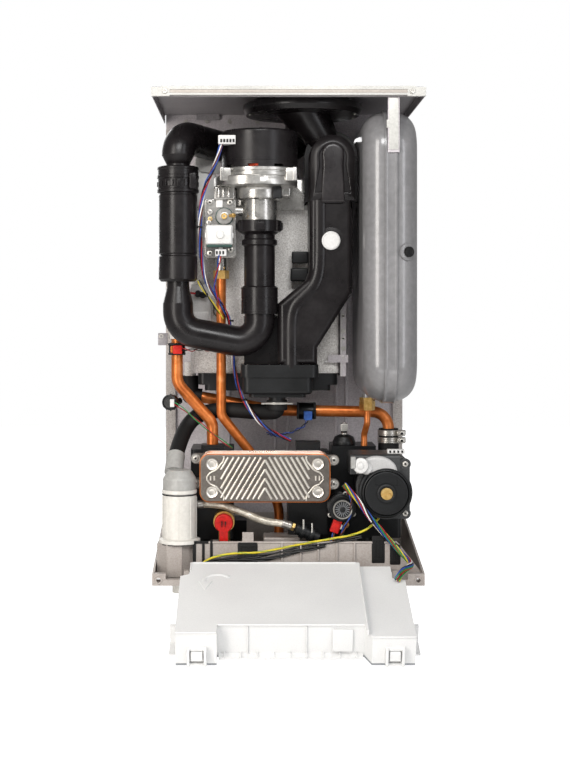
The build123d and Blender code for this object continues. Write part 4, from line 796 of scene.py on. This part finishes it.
# %% Brackets beside the exchanger
brackets = Piece("side_brackets")
brackets.bar((-199, -176, 352), (-184, -173.5, 369), panel_dark, 0.6)
brackets.ring([(1.9, 0), (3.4, 0), (3.4, 0.8), (1.9, 0.8)], (-194, -176.2, 364), FRONT, zinc_screw, 24)
brackets.bar((-199, -176, 350), (-186, -160, 352.4), panel_dark, 0.6)
brackets.bar((60, -137, 322), (86, -134, 325), light_sheet, 0.8)
for z in (505, 470, 430, 395, 360, 330):
    screw(brackets, 90, -136.2, z, 3.0, 2.0)
brackets.bar((86.5, -137.2, 300), (88.2, -134, 520), light_sheet, 0.5)
for low_x, high_x in ((-197.2, -181), (181, 197.2)):
    brackets.bar((low_x, -8.5, 68), (high_x, -7.6, 705), strip_paint, 0.3)
# painted shadow along the rail's rolled groove
brackets.bar((-186, -296.2, 722.2), (186, -295.2, 726.8), groove_painted_shadow, 0.3)
brackets.bar((-142, -118, 560), (-112, -116, 640), plated_cover, 0.8)
brackets.bar((-142, -118, 560), (-139.6, -100, 640), plated_cover, 0.8)
brackets.bar((-20, -2, -11), (20, 2, 11), light_sheet, 0.8, moved(-124, -121, 634, 8, "Y"))
brackets.place("frame_steel")

# %% [markdown]
# ### Expansion vessel
#
# Two pressed shells meet in a rolled seam. The seam is a flat band with bright rounded edges,
# and it is the line that tells the eye what the vessel is. The same kind of band makes the
# edges of the plate exchanger.

# %% Seam, cap and nipple
def rounded_rectangle(low, high, radius, steps=10):
    """Points round a rectangle with round corners."""
    points = []
    for cx, cy, start in (
        (high[0] - radius, high[1] - radius, 0), (low[0] + radius, high[1] - radius, 90),
        (low[0] + radius, low[1] + radius, 180), (high[0] - radius, low[1] + radius, 270),
    ):
        for step in range(steps + 1):
            points.append(on_circle((cx, cy), radius, start + 90 * step / steps))
    return points


def band(piece, outline, profile, material, to_place):
    """A closed band along a flat outline; profile holds (outward, sideways) pairs in mm."""
    shape = bmesh.new()
    count = len(outline)
    rows = []
    for index in range(count):
        before, here, after = outline[index - 1], outline[index], outline[(index + 1) % count]
        along = Vector((after[0] - before[0], after[1] - before[1])).normalized()
        outward = Vector((along.y, -along.x))
        rows.append([
            shape.verts.new(to_place(here[0] + outward.x * out, here[1] + outward.y * out, aside))
            for out, aside in profile
        ])
    skin(shape, rows, closed=True)
    piece.keep(shape, material)


def vessel_point(y, z, x):
    return Vector((x, y, z)) * MM


vessel = Piece("vessel_fittings")
seam = rounded_rectangle((-285, 265), (-20, 705), 62)
band(
    vessel, seam,
    [
        (0.2, 142), (1.5, 142.6), (1.8, 144.2), (1.2, 145.6), (0.9, 147), (0.9, 156), (1.2, 157.4),
        (1.8, 158.8), (1.5, 160.4), (0.2, 161), (-3, 160), (-3, 143),
    ], vessel_enamel, vessel_point,
)
turn = math.radians(62)
nose = Vector((math.cos(turn), -math.sin(turn), 0))
nipple = Vector((161, -253, 490)) + nose * 31.0
vessel.turned([(13, 0), (12.4, 1.6), (10, 2.6), (8.6, 2.8), (0.1, 2.8)], nipple, nose, vessel_enamel, 40)
vessel.turned(
    [(7.6, 2), (7.8, 3), (7.8, 6.2), (7.0, 7.4), (4.6, 7.8), (3.9, 7.2), (0.1, 7.1)], nipple, nose, rubber,
    40,
)
vessel.turned([(7.4, 0), (7.4, 9), (5.4, 11), (5.4, 15)], (128, -136, 281.5), DOWN, zinc_screw, 32)
vessel.turned([(9, 0), (12.6, 0.8), (12.8, 2.2), (12.6, 9), (9, 11)], (128, -136, 251), UP, brass, 6)
vessel.tube(
    smooth_line([(138, -140, 262), (142, -142, 268), (150, -142, 270), (160, -136, 264)]), 0.9, wire_black, 8,
)
vessel.bar((147.6, -289.6, 640), (161.6, -288.0, 716), coated_rail, 0.6)
vessel.bar((144.2, -289.2, 672), (148.4, -286, 684), coated_rail, 0.6)
vessel.place("vessel_paint")
print("vessel dressed")

# %% [markdown]
# ### Plate heat exchanger
#
# The stack of pressed plates is brazed with copper, which shows as a warm line at every edge.

# %% Brazed edges and pressed ribs
plates = Piece("plate_exchanger_edges")


def plate_point(x, z, y):
    return Vector((x, y, z)) * MM


rim = rounded_rectangle((-131, 117), (63, 188), 14, 8)
for step in range(8):
    y = -242.6 + 6.4 * step
    band(
        plates, rim, [(0.0, y - 1.6), (0.9, y - 1.2), (1.2, y), (0.9, y + 1.2), (0.0, y + 1.6)],
        copper if step % 2 == 0 else stainless, plate_point,
    )
SLOPE, PITCH = 1.7, 8.2  # the ribs' rise over run, and the distance from one to the next
PLATE_X, PLATE_Z = -34, 152.5  # the middle of the pressed face
FIELD_X, FIELD_Z = 66.0, 31.5  # half the width and height that the ribs cover
for number in range(-5, 9):
    apex = 58 - (number - 2) * PITCH * SLOPE - 2.7
    for side in (-1, 1):
        near = max(0.0, (apex - FIELD_Z) / SLOPE)
        far = min(FIELD_X, (apex + FIELD_Z) / SLOPE)
        if far - near > 4:
            ends = [
                Vector((PLATE_X + side * x, -245.7, PLATE_Z + apex - SLOPE * x)) * MM
                for x in (near, near + 0.3 * (far - near), near + 0.7 * (far - near), far)
            ]
            plates.tube(ends, 1.9, stainless, 12)
for x in (-113.5, 45.5):
    for z in (131.5, 173.5):
        plates.turned(
            [(9.4, 0), (9.0, 0.9), (7.9, 1.5), (6.6, 1.2), (5.6, 0.3), (5.0, 0.1), (0.1, 0.1)],
            (x, -246.0, z), FRONT, stainless, 40,
        )
for side in (-1, 1):
    for rise in (-1, 1):
        corner = smooth_line([
            (PLATE_X + side * across, -245.4, PLATE_Z + rise * up)
            for across, up in ((62, 33), (61, 27), (68, 19), (73, 12), (84, 8), (86, 3))
        ])
        plates.tube(corner, 1.5, stainless, 10)
    for across in (76, 81.5, 87):
        tick = smooth_line([(PLATE_X + side * across, -245.4, PLATE_Z + up) for up in (3.4, 1.4, -1.4, -3.4)])
        plates.tube(tick, 1.3, stainless, 10)
for x, y, z in ((-139.4, -206, 178), (-139.4, -206, 140), (70, -232, 178), (70, -232, 142)):
    screw(plates, x, y, z, 4.6, 3.6)
    plates.ring([(4.6, 0), (7.0, 0), (7.0, 1.0), (4.6, 1.0)], (x, y, z), FRONT, zinc_screw, 32)
plates.place("stainless")
print("plate exchanger dressed")

# %% [markdown]
# ### Pump, diverter and valves
#
# Turned rims and fins edge these bodies, and each plug, clip and screw is a shape of its own.

# %% Pump
PUMP = (147.0, 131.0)
pump = Piece("pump_fittings")
dome = [(133 + 31 * math.cos(math.pi * i / 24), 163 + 23.5 * math.sin(math.pi * i / 24)) for i in range(25)]
dome += [(102 + 62 * i / 8, 160) for i in range(9)]
pump.pad(
    dome, [(0, 0), (0, 33.4), (1.0, 35.4), (3.2, 36.8), (6.4, 37.4), (10, 37.6)], pump_cover,
    facing_front(0, -216, 0),
)
pump.turned(
    [(6, 0), (9.4, 0.8), (9.8, 3), (9.8, 20), (8.6, 23), (5, 24)], (122, -247, 166), (-0.86, -0.32, 0.42),
    valve_pbt, 40,
)
pump.bar((150, -241, 188.5), (176, -228, 195), valve_pbt, 1.0)
for x in (154, 160, 166, 172):
    pump.bar((x - 1.4, -241.6, 190), (x + 1.4, -240, 193.6), rubber, 0.3)
pump.ring(
    [(33.4, 0), (36.8, 0), (37.2, 1), (37.2, 8.5), (36, 10.4), (34.4, 11), (33.6, 10.2)],
    (PUMP[0], -246.5, PUMP[1]), FRONT, nylon_black, 80,
)
pump.ring(
    [(13.2, 0), (13.8, 0.4), (14.6, 2.0), (13.2, 3.2), (11, 3.4), (9.6, 2.6)], (PUMP[0], -257.8, PUMP[1]),
    FRONT, nylon_black, 56,
)
for x, z in ((176, 174), (176, 100)):
    screw(pump, x, -246, z, 4.6, 3.6)
    pump.ring([(5, 0), (8.4, 0), (8.4, 1.4), (5, 1.4)], (x, -246, z), FRONT, pump_paint, 32)
for level in (-186, -196, -206, -216, -226):
    pump.ring(
        [(39.6, -1.2), (41.2, -0.8), (41.2, 0.8), (39.6, 1.2)], (PUMP[0], level, PUMP[1]), FRONT, pump_paint,
        72,
    )
pump.place("pump_steel")

VENT = (93, -112, 0)
vent = Piece("air_vent_fittings")
vent.turned(
    [(5.3, 206.6), (5.3, 209), (4.4, 210), (4.4, 223), (3.2, 225.6), (0.1, 225.6)], VENT, UP, zinc_screw, 28,
)
vent.bar((87.5, -118.5, 212), (98.5, -116.5, 224), zinc_screw, 0.8)
vent.turned(
    [(17.6, 190.4), (18.2, 191), (18.2, 195.5), (17.4, 197.4), (14, 203.6), (8, 206.4), (5, 206.8)], VENT, UP,
    nylon_black, 56,
)
for low in (193.5, 205.0):
    vent.ring(
        [(16.9, 0), (17.5, 0.6), (17.5, 2.4), (17.0, 3), (17.0, 6), (17.5, 6.6), (17.5, 8.4), (16.9, 9)],
        (164, -110, low), UP, zinc_screw, 64,
    )
    vent.bar((176, -131, low + 0.4), (189, -118, low + 8.6), zinc_screw, 1.4)
    screw(vent, 183, -131, low + 4.5, 4.4, 3.6)
vent.place("brass")

# %% Diverter, filling valve and their clips
DIVERTER = (82.0, 106.0)
diverter = Piece("diverter_fittings")
diverter.ring(
    [(12.2, 0), (14.2, 0), (14.4, 0.8), (14.4, 2.4), (13.8, 3.0), (12.8, 3.0), (12.2, 2.4)],
    (DIVERTER[0], -248.4, DIVERTER[1]), FRONT, zinc_screw, 56,
)
for step in range(18):
    turn = moved(DIVERTER[0], -249, DIVERTER[1], 20 * step, "Y")
    diverter.bar((4.5, -1.6, -0.5), (11.4, 1.0, 0.5), grey_polymer, 0.3, turn)
diverter.turned(
    [(4.4, 0), (4.4, 2.0), (3.4, 2.6), (0.1, 2.7)], (DIVERTER[0], -248.4, DIVERTER[1]), FRONT, nylon_black,
    28,
)
for level in (-204, -212, -228, -236):
    diverter.ring(
        [(19.6, -1.0), (20.8, -0.6), (20.8, 0.6), (19.6, 1.0)], (DIVERTER[0], level, DIVERTER[1]), FRONT,
        nylon_black, 64,
    )
for angle in (75, 215, 330):
    x, z = on_circle(DIVERTER, 21, angle)
    screw(diverter, x, -222, z, 3.8, 3.0)
screw(diverter, 90.5, -200, 76, 5.0, 3.4, material=brass)
lean = moved(73, -232, 79, 20, "Y")
diverter.bar((-6.6, -6, -10), (6.6, 6, 10), red_nylon, 1.2, lean)
diverter.bar((-4.2, -7.2, -3), (4.2, -5.4, 6), red_nylon, 0.6, lean)
diverter.bar((5.6, -4, -2), (9.2, 4, 5), valve_pbt, 0.8, lean)
diverter.tube(smooth_line([(69, -232, 70), (66, -233, 60), (64, -236, 52)]), 0.9, wire_blue, 8)
diverter.tube(smooth_line([(71, -232, 70), (69, -233, 61), (68, -236, 52)]), 0.9, wire_brown, 8)
along = Vector((33, 0, -14)).normalized()
for distance in (8.2, 22.2):
    start = Vector((14, -230, 75)) + along * distance
    diverter.ring(
        [(10.4, 0), (11.6, 0.2), (11.8, 1.0), (11.8, 4.0), (11.6, 4.8), (10.4, 5.0)], start, along,
        nylon_black, 48,
    )
    diverter.bar(
        (-1.2, -1.2, 0), (1.2, 1.2, 16), zinc_screw, 0.5,
        moved(*(start + along * 2.5 + Vector((0, -9.5, 3)))),
    )
diverter.turned(
    [(6.4, 0), (6.6, 0.6), (6.6, 3.6), (6.4, 4.2)], Vector((14, -230, 75)) - along * 7.8, along, brass, 6,
)
diverter.turned(
    [(7, 0), (9.6, 0.6), (9.6, 4), (8.6, 5)], Vector((14, -230, 75)) - along * 1.5, along, nylon_black, 40,
)
diverter.place("hydraulic_black")

knob = Piece("safety_knob_rim")
knob.ring(
    [(13.6, 0), (14.2, 0.8), (14.2, 7), (13.4, 9), (12.2, 9.6), (12.0, 9.0)], (-96, -232.5, 84), FRONT,
    red_nylon, 56,
)
for x in (-99.4, -94.2):
    knob.bar((x, -247.4, 82), (x + 1.6, -244.6, 88), rubber, 0.4)
knob.place("knob_red", body="safety_knob")
print("pump, diverter and valves dressed")

# %% Plug-in sensors
sensors = Piece("plug_in_sensors")
sensors.ring(
    [(9.4, 0), (12.6, 0.4), (12.8, 2), (12.8, 15), (12.6, 16), (9.4, 16.4)], (-170, -165, 336), UP,
    nylon_black, 40,
)
for z in (335, 350):
    sensors.bar((-183, -182, z), (-157, -160, z + 3.4), nylon_black, 0.8)
sensors.bar((-175.4, -187, 337), (-161.4, -172, 350), red_nylon, 1.0)
sensors.bar((-179.5, -180, 338), (-175.6, -168, 349), copper, 0.8)
sensors.ring(
    [(9.4, 0), (13.2, 0.5), (13.4, 2), (13.4, 26), (13.2, 28), (9.4, 28.4)], (18.5, -110, 243.8),
    (1, 0, -0.016), nylon_black, 40,
)
for x in (17.6, 44.4):
    sensors.bar((x, -127, 232), (x + 3.4, -106, 257.5), nylon_black, 0.8)
sensors.bar((28.6, -133, 230.6), (41.4, -118, 244.6), blue_nylon, 1.0)
sensors.turned(
    [
        (5, -46), (5, -6), (11.4, -5.4), (12.2, -3), (12.2, 6), (11.6, 8.4), (9, 9.4), (8.6, 8.4), (5.6, 8.2),
        (5.2, 9.2), (0.1, 9.4),
    ], (-179, -178, 262), (-0.24, -0.97, 0.02), nylon_black, 48,
)
for step in range(12):
    turn = moved(-179, -178, 262, 30 * step, "Y")
    sensors.bar((11.4, -7, -0.9), (13.2, 1, 0.9), nylon_black, 0.4, turn)
sensors.bar((-179.5, -194, 255.5), (-173, -186, 267.5), valve_pbt, 0.8)
tilt = Vector((-0.16, -0.97, 0.10))
sensors.turned(
    [
        (9.6, -6), (11.6, -5), (11.8, 0), (11.8, 7), (10.8, 9), (8.4, 9.8), (5.4, 10), (5.0, 11.6),
        (3.4, 12.6), (0.1, 12.8),
    ], (109.5, -252, 172), tilt, valve_pbt, 48,
)
sensors.bar((93.5, -262, 168), (101, -250, 186), milky_pp, 2.0)
sensors.place("box_white", replaces=["water_sensors"])
print("sensors dressed")

# %% [markdown]
# ### Siphon and hoses
#
# A braided hose is wires wound both ways round a core, so it is made that way here. The wires
# lie so close that the core takes their finish.

# %% Siphon rings
siphon = Piece("siphon_rings")
SIPHON = (-162.6, -235.0)
siphon.ring([(25.2, 126.6), (26.3, 126.9), (26.3, 128.1), (25.2, 128.4)], (*SIPHON, 0), UP, rubber, 64)
siphon.ring([(25.3, 129.2), (26.2, 129.8), (26.2, 134.2), (25.3, 134.8)], (*SIPHON, 0), UP, siphon_pp, 64)
siphon.ring(
    [(25.3, 61), (27.6, 61.4), (30.8, 60.4), (31.4, 58.6), (31.4, 56), (25.3, 55)], (*SIPHON, 0), UP,
    siphon_pp, 64,
)
siphon.ring([(26, 53.6), (31.2, 53.8), (31.2, 55.2), (26, 55.4)], (*SIPHON, 0), UP, rubber, 64)
for angle in range(0, 360, 45):
    turn = moved(*SIPHON, 0, angle)
    siphon.bar((25.1, -0.7, 62), (26.1, 0.7, 124), siphon_pp, 0.3, turn)
siphon.place("siphon_white")

# %% Condensate hose
hose = Piece("condensate_hose_tube")
hose_line = smooth_line(
    [
        (-15, -185, 267), (-15, -185, 256), (-16, -184, 247), (-48, -161, 246), (-100, -141, 249),
        (-142, -141, 240), (-163, -160, 212), (-170, -196, 182),
    ],
)
hose.tube(hose_line, 12.0, rubber, 36)
hose.ring(
    [(12, 250), (15.4, 250.6), (16, 252), (16, 264), (15.2, 266), (12.4, 266)], (-15, -185, 0), UP, rubber,
    48,
)
hose.place("black_rubber", replaces=["condensate_hose"])

# %% Braided hose
STRANDS, LAY_M, WEAVE_M = 24, 0.028, 0.0024  # wires, one turn round the hose, one over and under
braid = Piece("braided_filling_hose")
braid_line = smooth_line(
    [
        (-136, -214, 109), (-108, -216, 111), (-72, -222, 100), (-36, -227, 85), (-8, -230, 82.5),
        (6, -230, 78.4),
    ],
)
fine = []
for before, after in zip(braid_line, braid_line[1:]):
    fine += [before.lerp(after, share) for share in (0, 0.25, 0.5, 0.75)]
fine.append(braid_line[-1])
braid.tube(braid_line, 5.0, braid_wire, 24)
travelled, pairs = distances(fine), side_directions(fine)
for strand in range(STRANDS):
    way = 1 if strand % 2 else -1
    wire = []
    for point, far, (side, other) in zip(fine, travelled, pairs):
        turn = math.tau * (way * far / LAY_M + strand / STRANDS)
        lift = (5.05 + 0.2 * math.sin(far / WEAVE_M * math.pi + strand * math.pi / 2)) * MM
        wire.append(point + lift * (side * math.cos(turn) + other * math.sin(turn)))
    braid.tube(wire, 0.42, braid_wire, 5)
end = Vector((5.4, -230, 78.6)) - Vector((-8, -230, 82.9))
braid.turned(
    [(5, 0), (6.4, 0.4), (6.4, 3), (5.9, 3.6), (5.9, 9), (6.4, 9.6), (6.4, 13.4), (5.6, 14)],
    (-8, -230, 82.9), end, zinc_screw, 40,
)
braid.turned([(5, 0), (6.0, 0.4), (6.0, 9), (5, 9.6)], (-136, -214, 109), (1, -0.07, 0.06), zinc_screw, 40)
braid.place("braid_steel", replaces=["filling_hose"])
print("hoses dressed")

# %% [markdown]
# ### Wiring
#
# Every lead is a loose twist of thin insulated wires. Each wire winds round the lead's own
# line at its own phase, so they cross over each other as real ones do. The earth lead is one
# thicker yellow wire with two green stripes.

# %% Leads
def lead(piece, route, colours, wire_mm, spread_mm, pitch_mm, phase=0.0):
    """Winds one wire of each colour round a smooth line."""
    line = smooth_line(route)
    travelled, pairs = distances(line), side_directions(line)
    for number, colour in enumerate(colours):
        wire = []
        for point, far, (side, other) in zip(line, travelled, pairs):
            turn = math.tau * (far / (pitch_mm * MM) + number / len(colours)) + phase
            spread = spread_mm * MM * (1 + 0.25 * math.sin(far * 90 + number))
            wire.append(point + spread * (side * math.cos(turn) + other * math.sin(turn)))
        piece.tube(wire, wire_mm, colour, 8)


def tie(piece, point, along, radius_mm):
    """A black cable tie with its lock."""
    piece.ring(
        [(radius_mm, -1.3), (radius_mm + 0.8, -1.3), (radius_mm + 0.8, 1.3), (radius_mm, 1.3)], point, along,
        rubber, 24,
    )
    lock = Vector(point) + Vector((radius_mm + 1, -1, 0))
    piece.bar([value - 1.5 for value in lock], [value + 1.5 for value in lock], rubber, 0.4)


harness = Piece("fan_lead")
fan_route = [
    (-99, -246, 655), (-104, -248, 628), (-128, -238, 585), (-134, -222, 530), (-130, -200, 470),
    (-121, -185, 440), (-102, -181, 416), (-87, -175, 388), (-85, -172, 345), (-78, -172, 290),
    (-58, -180, 250), (-28, -184, 216), (6, -180, 203),
]
lead(harness, fan_route, [wire_blue, wire_red, wire_black, wire_blue, wire_brown, wire_white], 0.9, 2.1, 110)
tie(harness, (-134, -222, 530), (0, 0.2, 1), 2.8)
tie(harness, (-87, -175, 388), UP, 2.8)
tie(harness, (-66, -177, 266), (0.4, 0, -1), 2.8)
lead(
    harness, [(-102, -231, 488), (-104, -228, 470), (-112, -205, 445), (-108, -186, 424), (-100, -181, 412)],
    [wire_blue, wire_red], 0.9, 1.3, 60,
)
lead(
    harness, [(-136, -200, 450), (-126, -196, 432), (-112, -186, 412), (-104, -182, 400), (-98, -178, 392)],
    [wire_yellow, wire_black], 0.9, 1.4, 80,
)
lead(
    harness, [(-162, -184, 344), (-148, -184, 342), (-134, -176, 344), (-116, -170, 341), (-92, -172, 345)],
    [wire_red, wire_black], 0.8, 1.5, 26,
)
lead(
    harness, [(-174, -192, 262), (-160, -192, 254), (-130, -192, 228), (-104, -192, 206), (-84, -186, 192)],
    [wire_green, wire_red], 0.8, 1.4, 90,
)
lead(
    harness,
    [(34, -130, 231), (30, -136, 222), (14, -140, 214), (-4, -146, 210), (-22, -164, 208), (-30, -180, 214)],
    [wire_blue, wire_black], 0.8, 1.4, 22,
)
harness.place("wire_pvc", replaces=["wiring_loom"])

earth = Piece("earth_and_mains_leads")
earth_line = smooth_line(
    [
        (-134, -258, 20), (-124, -258, 34), (-80, -257.5, 43), (-45, -257.5, 42), (10, -257.5, 54),
        (60, -257.5, 63), (100, -254, 69), (126, -248, 80), (138, -240, 93),
    ],
)
travelled, pairs = distances(earth_line), side_directions(earth_line)
earth.tube(earth_line, 1.7, wire_yellow, 12)
for way in (0, math.pi):
    stripe = [
        point + 1.25 * MM * (side * math.cos(far * 95 + way) + other * math.sin(far * 95 + way))
        for point, far, (side, other) in zip(earth_line, travelled, pairs)
    ]
    earth.tube(stripe, 0.62, wire_green, 6)
lead(
    earth, [(-110, -258, 27), (-72, -258, 34), (-30, -258, 32), (20, -258, 47), (56, -258, 53)],
    [wire_black, wire_black, wire_black], 1.3, 1.6, 120,
)
lead(
    earth,
    [(-128, -257, 28), (-80, -257, 38), (-40, -257, 37), (14, -257, 50), (70, -256, 58), (110, -252, 66)],
    [wire_black, wire_black], 1.2, 1.4, 160, 1.0,
)
lead(
    earth, [(84, -256, 145), (92, -256, 134), (96, -252, 116), (92, -246, 92), (80, -244, 66)],
    [wire_black, wire_brown, wire_blue], 0.8, 1.6, 50,
)
earth.place("wire_pvc", replaces=["wiring_loom"])

# %% [markdown]
# The control lead is the only one that crosses a joint: it hangs from the boiler to the box
# that hinges down. It is one smooth bend between the two bodies, and it rides on neither of them.

# %% Control lead
control = Piece("control_lead")
control_route = [
    (84, -256, 145), (104, -258, 122), (121, -261.5, 95), (148, -261, 66), (168, -265, 44), (182, -282, 32),
    (178, -306, 31), (162, -322, 27), (155, -328, 15),
]
lead(
    control, control_route,
    [wire_red, wire_green, wire_blue, wire_black, wire_white, wire_red, wire_blue, wire_yellow, wire_green],
    0.95, 3.2, 130,
)
tie(control, (126, -261.5, 89), (0.6, 0, -0.8), 3.2)
tie(control, (158, -262, 55), (0.7, -0.1, -0.7), 3.2)
control_piece = control.place("wire_pvc", body=None, replaces=["wiring_loom"])
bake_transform(control_piece)
print("leads laid")

# %% [markdown]
# ### Base and control box
#
# The box's mouldings are given in the box's own frame, and BOX lays them where the open box
# lies.

# %% Base tray
base = Piece("base_fittings")
for low_x, high_x, low_z, high_z in ((-75, -45, 25, 59), (125, 144.6, 27, 68), (152, 168, 24.6, 54.5)):
    base.bar((low_x, -256.6, low_z), (high_x, -252, high_z), rubber, 3.0)
    base.bar((low_x + 3, -257.4, low_z + 4), (high_x - 3, -256, low_z + 7), rubber, 0.8)
    base.bar((low_x + 3, -257.4, high_z - 8), (high_x - 3, -256, high_z - 5), rubber, 0.8)
    for step in range(3):
        x = low_x + 5 + (high_x - low_x - 10) * step / 2
        base.bar((x - 1, -257.6, low_z + 7), (x + 1, -256, high_z - 8), rubber, 0.5)
for low, high in (
    ((-142, -256.6, 18), (-137, -254, 60)), ((-142, -256.6, 56), (-118, -254, 60)),
    ((-128, -256.6, 26), (-124, -254, 58)),
    ((-116, -256.6, 30), (-112, -254, 62)),
):
    base.bar(low, high, rubber, 0.8)
base.bar((-68, -255.5, 55), (-51, -252, 73), galvanised_base, 1.2)
base.bar((-142, -256.4, 56.2), (163, -251.4, 59.4), galvanised_base, 1.3)
for x in (-10, 18, 44, 72, 98):
    base.bar((x, -258.2, 8), (x + 2.4, -254, 57), galvanised_base, 0.8)
base.bar((-36, -210, 50), (20, -160, 58), galvanised_base, 3.0)
base.ring([(9, 7), (21, 7), (18, 46), (17, 50), (9, 50)], (-11, -130, 0), UP, galvanised_base, 48)
base.ring([(8.6, 50), (16.4, 50.2), (16.8, 51), (16.4, 51.8), (8.6, 52)], (-11, -130, 0), UP, zinc_screw, 48)
for x in (-190.5, 190.5):
    base.ring(
        [(3.3, 0), (5.4, 0), (5.8, 0.7), (5.4, 1.4), (3.3, 1.4)], (x, -289.6, 8), FRONT, galvanised_base, 32,
    )
for step in range(8):
    turn = moved(-169, -235, 0, 45 * step + 22.5)
    base.bar((26.6, -1.2, 8), (28.8, 1.2, 55), galvanised_base, 0.8, turn)
base.place("frame_steel")

# %% Control box
LIES_AT_DEGREES = 19
BOX = moved(0, -284.4, 15.1, LIES_AT_DEGREES, "X")
box = Piece("control_box_mouldings")


def moulding(low, high, soft):
    """A bar of the box's own plastic, given in the box's own frame."""
    box.bar(low, high, white_abs, soft, BOX)


arc = [
    Vector((-103 + 19 * math.cos(math.radians(turn)), -46 + 17 * math.sin(math.radians(turn)), 13.2)) * MM
    for turn in range(200, 20, -9)
]
box.tube(arc, 5.4, white_abs, 24, place=BOX)
box.pad(
    [(-9, 12), (11, 12), (1, -12)], [(0, -1), (0.3, 0.6), (1.0, 1.2), (2, 1.3)], white_abs,
    BOX @ moved(-121, -62, 17.3),
)
moulding((-143.4, -20, 16.4), (-141.2, 4.5, 18.3), 0.8)
moulding((-141, 3.2, 15.9), (99, 5.6, 18.4), 1.0)
moulding((101.4, -181, 10.8), (104.6, 4, 18.2), 1.4)
for low_x, high_x in ((-157, -101), (109, 168)):
    top = 17.6 if low_x < 0 else 10.8
    moulding((low_x + 0.4, -184.2, top - 2.6), (high_x - 0.4, -181.6, top), 1.0)
moulding((-101, -165, 15.2), (100, -162, 17.8), 1.2)
for x in (-60, 20):
    moulding((x, -165.4, -28), (x + 1.6, -163, 14), 0.6)
moulding((56, -166.4, -24), (84, -164.2, 10), 1.0)
for low_x, high_x in ((-141, -115), (127, 152)):
    moulding((low_x + 5, -190.5, -24), (high_x - 5, -186, -10), 1.0)
    moulding((low_x - 0.5, -193, -31.4), (low_x + 3.4, -183, -5.6), 0.8)
    moulding((high_x - 3.4, -193, -31.4), (high_x + 0.5, -183, -5.6), 0.8)
for step in range(9):
    x = -92 + 22.5 * step
    moulding((x, -176.4, -28.2), (x + 1.6, -163, -25.6), 0.4)
moulding((-28, 4.6, 4), (-14, 6.8, 14), 0.8)
box.place("box_white", body="control_box")
print("base and control box dressed")
